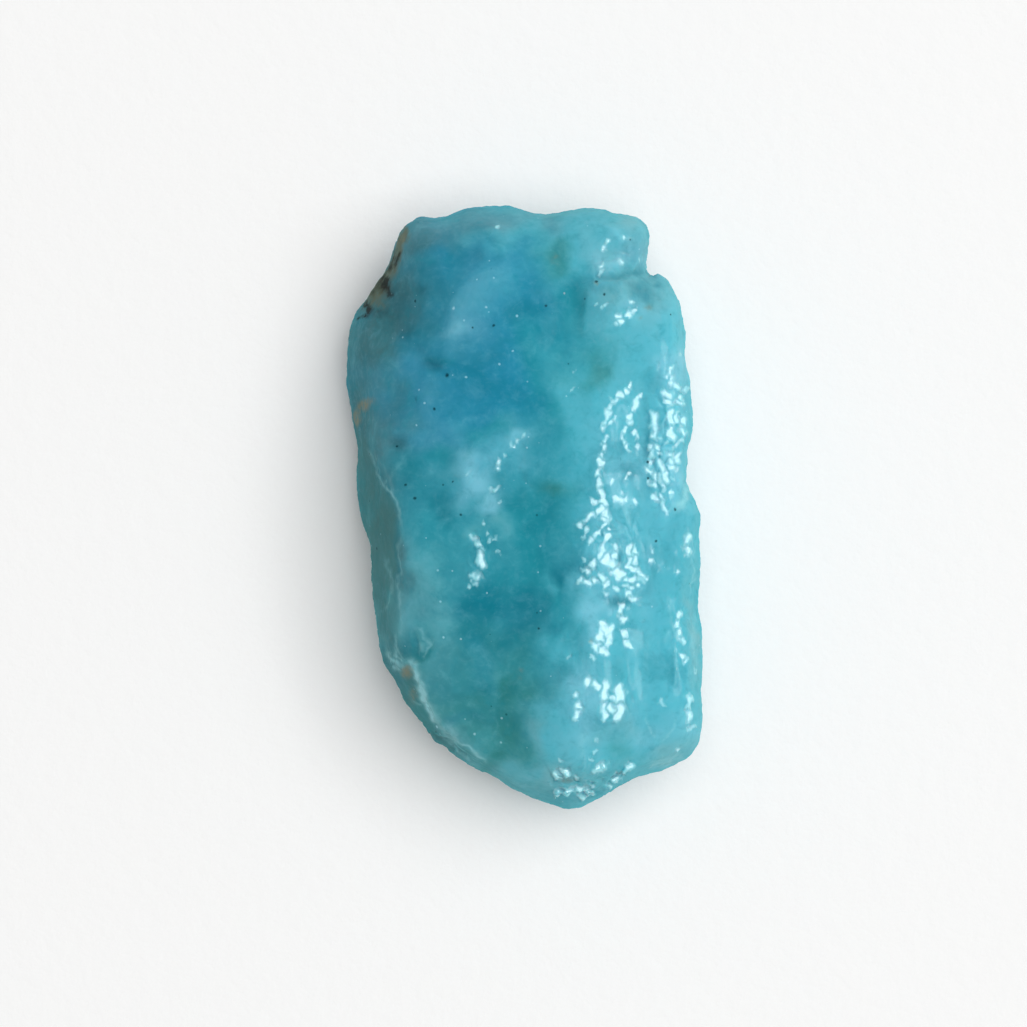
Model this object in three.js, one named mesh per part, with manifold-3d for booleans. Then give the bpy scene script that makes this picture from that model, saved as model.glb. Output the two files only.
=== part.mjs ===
// A rough piece of larimar, the blue variety of pectolite, as it was broken out of its vein and washed.
// It grew and broke as one piece, so it is one solid: a long chunk with a crest along its right side, a trough
// beside the crest, a plateau to the left of the trough, steep broken flanks and a notched corner at its far end.
//
// Millimetres. +Y runs along the stone, +Z is up, and the origin is the middle of its footprint.
// It lies on a flat cleavage face at z = 0.

import * as THREE from "three";
import { SimplexNoise } from "three/addons/math/SimplexNoise.js";
import { mergeVertices } from "three/addons/utils/BufferGeometryUtils.js";
import Module from "manifold-3d";

const LENGTH = 30;
const WIDTH = 17.8;
const HEIGHT = 11;

const CORE_HEIGHT = 4.6; // of the point inside the stone that the broken faces are measured from
const ROOF_HEIGHT = 9; // of the upper side, before its ridges and hollows
const UNDERSIDE_DEPTH = -0.7; // of the rounded underside, before the resting face is cut
const GIRDLE_HEIGHT = 3.6; // where the stone is widest, half-way between its left and right sides
const GIRDLE_TILT = 1.3; // how much higher the right side's widest line is
const SHOULDER = { above: 3.8, below: 2.3 }; // 2 gives a round side in section, and more a squarer one
const SPHERE_DETAIL = 20; // gives 20 * 21 * 21 triangles
const EDGE_SHARPNESS = 34; // of the edges between broken faces
const ROUGHNESS = [
  { size: 5.5, depth: 0.2 },
  { size: 2.2, depth: 0.09 },
];
const NOISE_SEED = 7;

// The outline from above, anticlockwise from the near end's tip.
const OUTLINE = [
  [2.4, -15.0],
  [4.8, -13.75],
  [7.3, -12.9],
  [8.2, -12.2],
  [8.75, -11.2],
  [8.75, -9.0],
  [8.85, -6.6],
  [8.6, -4.8],
  [8.7, -1.6],
  [8.6, 0.1],
  [8.1, 1.0],
  [7.95, 2.5],
  [8.3, 4.3],
  [8.0, 6.5],
  [7.75, 9.0],
  [7.4, 10.3],
  [6.75, 11.1],
  [6.3, 11.4],
  [6.1, 11.9],
  [6.2, 13.4],
  [5.6, 14.05],
  [3.8, 14.45],
  [0.8, 14.15],
  [-1.8, 15.1],
  [-4.1, 14.1],
  [-5.6, 14.35],
  [-6.4, 13.8],
  [-7.15, 11.45],
  [-8.3, 10.25],
  [-8.95, 9.0],
  [-8.95, 7.7],
  [-8.8, 4.4],
  [-8.75, 1.9],
  [-8.5, -0.6],
  [-8.0, -2.0],
  [-7.75, -4.4],
  [-7.1, -7.6],
  [-5.9, -9.8],
  [-4.2, -11.2],
  [-2.5, -12.6],
  [-1.3, -13.3],
  [-0.4, -14.1],
];

// Ridges and hollows of the upper side. Each is a swelling at a place in plan, with a reach along and across it,
// turned in degrees from +X, that rises by so much, or sinks where the rise is negative.
const RELIEF = {
  crest: { at: [2.8, -3], reach: [10, 2.4], turn: 92, rise: 0.5 },
  rightTerrace: { at: [6, -6.2], reach: [6.4, 1.9], turn: 91, rise: -0.55 },
  nearPlateau: { at: [-3.7, -3.2], reach: [4.8, 2.4], turn: 88, rise: 0.4 },
  farPlateau: { at: [-1.7, 9.2], reach: [4.4, 2.8], turn: 68, rise: 0.45 },
  paleKnoll: { at: [-2.1, 2.1], reach: [1.9, 0.8], turn: 42, rise: 0.35 },
  trough: { at: [0.4, -2.6], reach: [6.4, 1.2], turn: 87, rise: -0.15 },
  troughBowl: { at: [-1.1, -5.4], reach: [2.4, 1.5], turn: 80, rise: -0.25 },
  farTrough: { at: [2.2, 9.4], reach: [2.7, 1.1], turn: 80, rise: -0.25 },
  leftShoulder: { at: [-8, 9.4], reach: [5, 3], turn: 96, rise: -2.2 },
  leftFall: { at: [-8.8, -3], reach: [8, 2.2], turn: 92, rise: -1.2 },
  rightFall: { at: [9.4, -2], reach: [14, 3.8], turn: 90, rise: -0.6 },
  rightGutter: { at: [5.4, 3], reach: [3.8, 1], turn: 92, rise: -0.32 },
  rightPad: { at: [7.3, 3.2], reach: [3.4, 1], turn: 91, rise: 0.45 },
  cornerBlock: { at: [4.6, 13.4], reach: [1.9, 1.2], turn: 0, rise: 0.6 },
  notchGroove: { at: [5.2, 11.9], reach: [1.9, 0.8], turn: 3, rise: -0.9 },
  notchSill: { at: [4.4, 10.6], reach: [1.5, 0.9], turn: -20, rise: 0.5 },
  nearHump: { at: [2.4, -10.4], reach: [3, 2.2], turn: 100, rise: 0.5 },
  nearSlope: { at: [-2.4, -10.2], reach: [3.2, 2.4], turn: 60, rise: -0.6 },
  tip: { at: [2.6, -14.6], reach: [3, 1.6], turn: 5, rise: -1.6 },
};

// Broken faces: a point that each passes through and the way it faces.
const BROKEN_FACES = {
  leftFlank: { at: [-6.4, -1, 8.4], facing: [-0.94, -0.06, 0.34] },
  nearLeftBevel: { at: [-5.1, -9.9, 6.4], facing: [-0.77, -0.54, 0.34] },
  farLeftWall: { at: [-7.25, 11.75, 4.6], facing: [-0.84, 0.5, 0.16] },
  farEnd: { at: [0, 14.9, 5.4], facing: [-0.03, 0.97, 0.24] },
  rightSlope: { at: [6.8, -2, 9.1], facing: [0.36, 0.03, 0.93] },
  rightRollOff: { at: [8.3, -2, 7.3], facing: [0.86, -0.02, 0.5] },
  nearRightFacet: { at: [6.2, -12.7, 6], facing: [0.42, -0.84, 0.34] },
  nearTipFacet: { at: [0.6, -13.8, 5.4], facing: [-0.3, -0.88, 0.38] },
  leftUnderside: { at: [-6.6, -3, 1.2], facing: [-0.66, -0.2, -0.72] },
  farUnderside: { at: [-1.5, 12.4, 1.1], facing: [-0.1, 0.7, -0.7] },
  rightUnderside: { at: [6.6, 3.5, 1.4], facing: [0.72, 0.16, -0.67] },
  nearUnderside: { at: [3, -12.2, 1.2], facing: [0.24, -0.72, -0.65] },
};

// A repeatable source of random numbers for the noise's own shuffle.
function seededRandom(seed) {
  let state = seed;
  return {
    random() {
      state = (state * 16807) % 2147483647;
      return state / 2147483647;
    },
  };
}

// The outline as a function of an angle round the middle. Equal steps in angle give equal steps along the outline.
function stoneEdge() {
  const curve = new THREE.CatmullRomCurve3(
    OUTLINE.map(([x, y]) => new THREE.Vector3(x, y, 0)),
    true,
    "centripetal",
  );
  curve.arcLengthDivisions = 20 * OUTLINE.length;
  const start = Math.atan2(OUTLINE[0][1], OUTLINE[0][0]);
  return (angle) => curve.getPointAt(THREE.MathUtils.euclideanModulo(angle - start, 2 * Math.PI) / (2 * Math.PI));
}

// Half of the stone in section, as a superellipse from its middle (0, 1) out to its widest line (1, 0). Equal
// shares give equal steps along it.
function sideSection(squareness) {
  const half = WIDTH / 2;
  const steps = 32;
  const points = Array.from({ length: steps + 1 }, (_, i) => {
    const angle = ((i / steps) * Math.PI) / 2;
    return new THREE.Vector2(
      half * Math.sin(angle) ** (2 / squareness),
      CORE_HEIGHT * Math.cos(angle) ** (2 / squareness),
    );
  });
  const curve = new THREE.SplineCurve(points);
  return (share) => {
    const { x, y } = curve.getPointAt(share);
    return { out: x / half, up: y / CORE_HEIGHT };
  };
}

// How much one ridge or hollow lifts the upper side at a place in plan.
function lift({ at, reach, turn, rise }, x, y) {
  const angle = THREE.MathUtils.degToRad(turn);
  const dx = x - at[0];
  const dy = y - at[1];
  const along = (dx * Math.cos(angle) + dy * Math.sin(angle)) / reach[0];
  const across = (dy * Math.cos(angle) - dx * Math.sin(angle)) / reach[1];
  return rise * Math.exp(-(along * along) - across * across);
}

function roofHeight(x, y) {
  return Object.values(RELIEF).reduce((z, swelling) => z + lift(swelling, x, y), ROOF_HEIGHT);
}

// Where a direction from the middle of a unit sphere lands on the rounded stone, before anything broke off it.
function bodyPoint(direction, edge, above, below) {
  const latitude = Math.asin(THREE.MathUtils.clamp(direction.z, -1, 1)) / (Math.PI / 2);
  const { out, up } = (latitude > 0 ? above : below)(1 - Math.abs(latitude));
  const { x, y } = edge(Math.atan2(direction.y, direction.x)).multiplyScalar(out);
  const girdle = GIRDLE_HEIGHT + (GIRDLE_TILT * x) / (WIDTH / 2);
  const limit = latitude > 0 ? roofHeight(x, y) : UNDERSIDE_DEPTH;
  return new THREE.Vector3(x, y, THREE.MathUtils.lerp(girdle, limit, up));
}

// The smaller of two distances, rounded where they cross.
function softMin(a, b) {
  return (a ** -EDGE_SHARPNESS + b ** -EDGE_SHARPNESS) ** (-1 / EDGE_SHARPNESS);
}

// Moves a point on the rounded body to where that direction meets it, its broken faces and its rough skin.
function breakAndRoughen(point, core, faces, noise) {
  const direction = point.clone().sub(core);
  let reach = direction.length();
  direction.normalize();
  for (const { depth, facing } of faces) {
    const toward = facing.dot(direction);
    if (toward > 0) reach = softMin(reach, depth / toward);
  }
  for (const { size, depth } of ROUGHNESS) {
    reach += depth * noise.noise3d(point.x / size, point.y / size, point.z / size);
  }
  return core.clone().addScaledVector(direction, reach);
}

function roughStone() {
  const edge = stoneEdge();
  const above = sideSection(SHOULDER.above);
  const below = sideSection(SHOULDER.below);
  const noise = new SimplexNoise(seededRandom(NOISE_SEED));
  const core = new THREE.Vector3(0, 0, CORE_HEIGHT);
  const faces = Object.values(BROKEN_FACES).map(({ at, facing }) => {
    const normal = new THREE.Vector3(...facing).normalize();
    return { facing: normal, depth: normal.dot(new THREE.Vector3(...at).sub(core)) };
  });

  const geometry = new THREE.IcosahedronGeometry(1, SPHERE_DETAIL);
  const position = geometry.attributes.position;
  const direction = new THREE.Vector3();
  for (let i = 0; i < position.count; i++) {
    direction.fromBufferAttribute(position, i).normalize();
    const point = breakAndRoughen(bodyPoint(direction, edge, above, below), core, faces, noise);
    position.setXYZ(i, point.x, point.y, point.z);
  }
  return geometry;
}

// Closed geometry as a solid that can be cut, and back.
function toSolid(wasm, geometry) {
  const bare = geometry.clone();
  bare.deleteAttribute("normal");
  bare.deleteAttribute("uv");
  const merged = mergeVertices(bare, 1e-4);
  return new wasm.Manifold(
    new wasm.Mesh({
      numProp: 3,
      vertProperties: merged.attributes.position.array,
      triVerts: new Uint32Array(merged.index.array),
    }),
  );
}

function toGeometry(solid) {
  const { vertProperties, triVerts } = solid.getMesh();
  const geometry = new THREE.BufferGeometry();
  geometry.setAttribute("position", new THREE.BufferAttribute(vertProperties, 3));
  geometry.setIndex(new THREE.BufferAttribute(triVerts, 1));
  return geometry;
}

// Cuts the resting face: everything below z = 0 goes.
function cutRestingFace(wasm, geometry) {
  const ground = new THREE.BoxGeometry(2 * WIDTH, 2 * LENGTH, HEIGHT);
  ground.translate(0, 0, -HEIGHT / 2);
  return toGeometry(toSolid(wasm, geometry).subtract(toSolid(wasm, ground)));
}

// Brings the cut stone to its driving dimensions, with the middle of its footprint at the origin.
function fitToSize(geometry) {
  geometry.computeBoundingBox();
  const { min, max } = geometry.boundingBox;
  const size = max.clone().sub(min);
  geometry.translate(-(min.x + max.x) / 2, -(min.y + max.y) / 2, -min.z);
  geometry.scale(WIDTH / size.x, LENGTH / size.y, HEIGHT / size.z);
  geometry.computeVertexNormals();
  return geometry;
}

const wasm = await Module();
wasm.setup();

const larimar = new THREE.MeshStandardMaterial({ color: 0x3d9fb0, roughness: 0.18, metalness: 0 });
const stone = new THREE.Mesh(fitToSize(cutRestingFace(wasm, roughStone())), larimar);
stone.name = "larimar_stone";

const part = new THREE.Group();
part.add(stone);

export default part;
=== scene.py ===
# Raw larimar: one rough, washed piece of blue-green pectolite, lying on its flat face on a pale floor.
# The stone is shaped in millimetres and turned into metres at the end. Its notched far end is +Y and its
# glossy, wrinkled side +X. Every place in the lists below is in mm from the middle of the footprint, as
# the camera above sees it.
import math

import bmesh
import bpy
import numpy as np
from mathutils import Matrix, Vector


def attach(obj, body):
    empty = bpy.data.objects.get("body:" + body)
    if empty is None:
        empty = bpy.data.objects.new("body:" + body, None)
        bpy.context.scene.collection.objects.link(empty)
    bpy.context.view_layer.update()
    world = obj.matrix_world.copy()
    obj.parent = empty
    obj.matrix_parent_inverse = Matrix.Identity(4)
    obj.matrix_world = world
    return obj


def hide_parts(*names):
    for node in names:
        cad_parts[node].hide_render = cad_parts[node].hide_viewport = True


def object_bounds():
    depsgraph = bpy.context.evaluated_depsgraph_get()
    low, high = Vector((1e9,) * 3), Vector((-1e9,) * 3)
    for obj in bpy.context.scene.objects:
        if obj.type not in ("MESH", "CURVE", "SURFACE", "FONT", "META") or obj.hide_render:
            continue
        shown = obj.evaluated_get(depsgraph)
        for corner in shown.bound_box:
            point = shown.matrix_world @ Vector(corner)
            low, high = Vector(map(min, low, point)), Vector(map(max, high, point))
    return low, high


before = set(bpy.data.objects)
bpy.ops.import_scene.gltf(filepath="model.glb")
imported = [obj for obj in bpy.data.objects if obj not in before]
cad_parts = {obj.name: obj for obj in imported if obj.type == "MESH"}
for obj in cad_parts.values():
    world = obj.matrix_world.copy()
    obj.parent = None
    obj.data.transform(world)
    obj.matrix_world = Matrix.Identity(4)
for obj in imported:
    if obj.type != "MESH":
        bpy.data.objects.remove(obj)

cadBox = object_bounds()
mm = 0.001
boxMiddle = (cadBox[0] + cadBox[1]) / 2
stoneLength = cadBox[1].y - cadBox[0].y
stoneHeight = cadBox[1].z


# small helpers for node trees

def addNode(tree, kind, values=None, **settings):
    made = tree.nodes.new(kind)
    for name, value in settings.items():
        setattr(made, name, value)
    for socket, value in (values or {}).items():
        if isinstance(value, bpy.types.NodeSocket):
            tree.links.new(value, made.inputs[socket])
        else:
            made.inputs[socket].default_value = value
    return made


def maths(tree, operation, *values, clamp=False):
    sockets = dict(enumerate(values))
    return addNode(tree, "ShaderNodeMath", sockets, operation=operation, use_clamp=clamp).outputs[0]


def times(tree, first, *others):
    for other in others:
        first = maths(tree, "MULTIPLY", first, other)
    return first


def vectorMaths(tree, operation, *values):
    made = addNode(tree, "ShaderNodeVectorMath", dict(enumerate(values)), operation=operation)
    return made.outputs["Value" if operation in ("LENGTH", "DISTANCE", "DOT_PRODUCT") else "Vector"]


def scaled(tree, vector, by):
    made = addNode(tree, "ShaderNodeVectorMath", {0: vector, "Scale": by}, operation="SCALE")
    return made.outputs["Vector"]


def splitVector(tree, vector):
    return addNode(tree, "ShaderNodeSeparateXYZ", {0: vector}).outputs


def remap(tree, value, low, high, toLow=0.0, toHigh=1.0, smooth=True):
    made = addNode(
        tree, "ShaderNodeMapRange",
        {"Value": value, "From Min": low, "From Max": high, "To Min": toLow, "To Max": toHigh},
        interpolation_type="SMOOTHSTEP" if smooth else "LINEAR",
    )
    return made.outputs["Result"]


def perMm(tree, size):
    return maths(tree, "DIVIDE", 1.0, size)


def noiseAt(tree, place, size, detail=3.0, roughness=0.55, distortion=0.0):
    made = addNode(
        tree, "ShaderNodeTexNoise",
        {"Vector": place, "Scale": perMm(tree, size), "Detail": detail, "Roughness": roughness,
         "Distortion": distortion},
    )
    return made.outputs["Fac"]


def warped(tree, place, size, amount):
    # the place pushed about by a coarse noise, so that nothing follows a straight line
    push = addNode(tree, "ShaderNodeTexNoise", {"Vector": place, "Scale": 1 / size, "Detail": 2.0})
    return vectorMaths(tree, "ADD", place, scaled(tree, push.outputs["Color"], amount))


def cellsAt(tree, place, size, feature="F1", **values):
    # Voronoi cells of about this size
    inputs = {"Vector": place, "Scale": perMm(tree, size), **values}
    return addNode(tree, "ShaderNodeTexVoronoi", inputs, feature=feature).outputs


# the camera looks straight down from where the stone takes its share of the frame

view = {
    "stoneShare": 0.584,          # of the frame's height, taken by the stone's length
    "shift": (-0.0112, -0.0063),  # of the frame, from the stone's middle to the frame's middle
    "lens": 100.0,
    "sensor": 36.0,
    "focusHeight": 0.4,           # of the stone's height, where the share is measured
    "clip": (0.01, 10),           # m
}


def placeCamera():
    field = stoneLength / view["stoneShare"]
    camera = bpy.data.objects.new("camera", bpy.data.cameras.new("camera"))
    camera.data.lens = view["lens"]
    camera.data.sensor_width = view["sensor"]
    away = field * view["lens"] / view["sensor"]
    camera.location = (
        boxMiddle.x + view["shift"][0] * field,
        boxMiddle.y + view["shift"][1] * field,
        view["focusHeight"] * stoneHeight + away,
    )
    camera.data.clip_start, camera.data.clip_end = view["clip"]
    bpy.context.scene.collection.objects.link(camera)
    bpy.context.scene.camera = camera


def seenPlan(points):
    # where the camera sees each point (in mm), brought to the height at which the view is measured
    eye = np.array(bpy.context.scene.camera.location) / mm
    level = view["focusHeight"] * stoneHeight / mm
    closer = (eye[2] - level) / (eye[2] - points[:, 2:])
    return eye[:2] + (points[:, :2] - eye[:2]) * closer


placeCamera()
print("camera placed")


# The soft lights: the way each lies from the stone (degrees round from +X and up), how far off and how
# large it is in m, its power, and whether it lights the scene, shows in reflections, or both.
lamps = {
    "overhead": {
        "round": 20, "up": 74, "away": 1.2, "size": (1.1, 1.1), "power": 13.25,
        "lights": True, "mirrored": False,
    },
    "broad": {
        "round": 24, "up": 48, "away": 1.2, "size": (0.75, 0.34), "power": 1.0,
        "lights": True, "mirrored": True,
    },
    "window": {
        "round": 6, "up": 36, "away": 1.2, "size": (0.33, 0.33), "power": 3.25,
        "lights": False, "mirrored": True,
    },
}


def wayTo(lamp):
    turn, up = math.radians(lamp["round"]), math.radians(lamp["up"])
    return Vector((math.cos(turn) * math.cos(up), math.sin(turn) * math.cos(up), math.sin(up)))


# the stone's shape

stone = {
    "node": "larimar_stone",
    "slot": "larimar",
    "weld": 0.002,                # mm, within which the solid's loose corners are one
    "voxel": 0.052,               # mm, fine enough for the smallest flakes
    "smoothRounds": 8,            # which take the solid's own facets off the skin
    "triangles": 192000,          # kept after the plain places are thinned out
    "keepFrom": 0.2,              # of a flake's or vein's strength, from which nothing is thinned
    "foldShare": 0.3,             # how much of a wrinkle's or block's strength counts for that
    "flatHeight": 0.06,           # mm, below which the skin belongs to the resting face
}

# Edges worked into the upper side. A scarp drops to the right of its direction, a lip stands proud along
# its line and a groove is sunk. Each has a depth and a width in mm, and how strongly painted light and
# shade mark it: paler on its high side or along a lip, and deeper, as painted shade, below a scarp.
edges = {
    "facet edge": (
        "scarp", 0.1, 0.2, 0.2, [(5.4, -4.7), (6.1, -3.7), (6.8, -1.8), (7.4, -0.4), (7.9, 0.8)],
    ),
    "notch": ("groove", 0.3, 0.4, 0.0, [(3.5, 11.5), (4.4, 11.6), (5.4, 11.8), (6.6, 11.8)]),
    "notch's near side": ("lip", 0.1, 0.2, 0.0, [(3.4, 11.25), (4.3, 11.25), (5.2, 11.3)]),
    "pad fold": ("groove", 0.08, 0.25, 0.0, [(4.9, 11.2), (5.8, 10.9), (6.9, 10.5)]),
    "step by the pad": ("scarp", 0.2, 0.18, 0.35, [(3.9, 11.5), (3.2, 11.0), (2.95, 9.8), (2.9, 8.4)]),
    "flute of the corner": ("lip", 0.05, 0.14, 0.3, [(3.9, 14.2), (4.5, 13.8), (4.9, 13.2)]),
    "far scallop": (
        "scarp", 0.16, 0.35, 0.6,
        [(-0.9, 12.4), (-1.9, 12.0), (-2.7, 11.6), (-3.5, 10.8), (-3.85, 9.8), (-4.0, 8.6), (-4.3, 7.4)],
    ),
    "far bay's rim": ("scarp", 0.06, 0.2, 0.15, [(-3.6, 11.0), (-4.0, 11.9), (-3.8, 12.9), (-3.0, 13.4)]),
    "far left facet": ("scarp", 0.08, 0.3, 0.25, [(-4.9, 6.9), (-5.3, 5.6), (-5.2, 4.4)]),
    "far left fold": ("groove", 0.12, 0.45, 0.0, [(-6.4, 8.4), (-5.2, 7.5), (-4.4, 6.9), (-3.8, 6.5)]),
    "far bay": ("scarp", 0.08, 0.25, 0.2, [(-1.4, 14.5), (-2.1, 13.4), (-1.9, 12.4)]),
    "knoll": ("scarp", 0.06, 0.25, 0.1, [(-2.6, 0.9), (-1.6, 1.0), (-1.2, 2.0), (-0.5, 3.1), (0.1, 3.8)]),
    "knoll saddle": ("groove", 0.06, 0.2, 0.0, [(0.1, 3.0), (-0.2, 2.0), (0.4, 0.9), (1.4, 1.0)]),
    "plateau step": (
        "scarp", 0.08, 0.2, 0.1, [(-2.9, -4.4), (-2.3, -3.6), (-1.9, -2.6), (-2.2, -1.8), (-2.8, -1.2)],
    ),
    "pool edge": ("scarp", 0.06, 0.4, 0.1, [(-2.0, -6.9), (-0.6, -6.4), (1.0, -6.2), (2.0, -5.4)]),
    "left crease": (
        "scarp", 0.22, 0.2, 0.2,
        [(-7.4, 3.2), (-7.3, 2.0), (-7.0, 1.0), (-6.4, 0.0), (-6.2, -2.0), (-6.2, -5.0), (-6.4, -7.0)],
    ),
    "long step": (
        "scarp", 0.1, 0.15, 0.1, [(4.95, -4.8), (5.1, -6.5), (5.3, -8.0), (5.5, -9.5), (5.8, -11.0)],
    ),
    "lump edge": ("scarp", 0.12, 0.16, 0.4, [(-4.6, -6.4), (-4.7, -7.2), (-5.1, -7.7), (-5.8, -7.9)]),
    "lump fold": ("groove", 0.07, 0.14, 0.0, [(-5.6, -6.1), (-5.4, -6.8), (-5.5, -7.6)]),
    "bevel edge": (
        "scarp", 0.24, 0.16, 0.3,
        [(-5.7, -7.9), (-5.1, -9.3), (-4.4, -10.6), (-3.2, -11.8), (-1.9, -12.8)],
    ),
    "bevel gash": ("groove", 0.2, 0.1, 0.0, [(-4.7, -11.2), (-4.0, -11.6), (-3.4, -12.1), (-2.9, -12.5)]),
    "near seam": ("scarp", 0.06, 0.3, 0.15, [(0.6, -11.0), (1.6, -10.2), (2.4, -8.8), (2.9, -7.2)]),
    "tip groove": ("groove", 0.16, 0.16, 0.0, [(1.3, -13.75), (2.1, -13.7), (3.0, -13.8)]),
    "tip edge": ("lip", 0.06, 0.14, 0.2, [(1.2, -14.4), (2.2, -14.1), (3.2, -14.3)]),
}

carving = {
    "reach": 3.0,                 # mm beside an edge, past which it changes nothing
    "scarpFade": 4.5,             # widths over which a scarp's two sides fade out
    "lineStep": 0.15,             # mm, of the straight pieces in a rounded line
    "notchCorner": (6.17, 11.66),
    "notchLength": 2.0,           # mm, from its corner to the stone's far end
}

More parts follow.
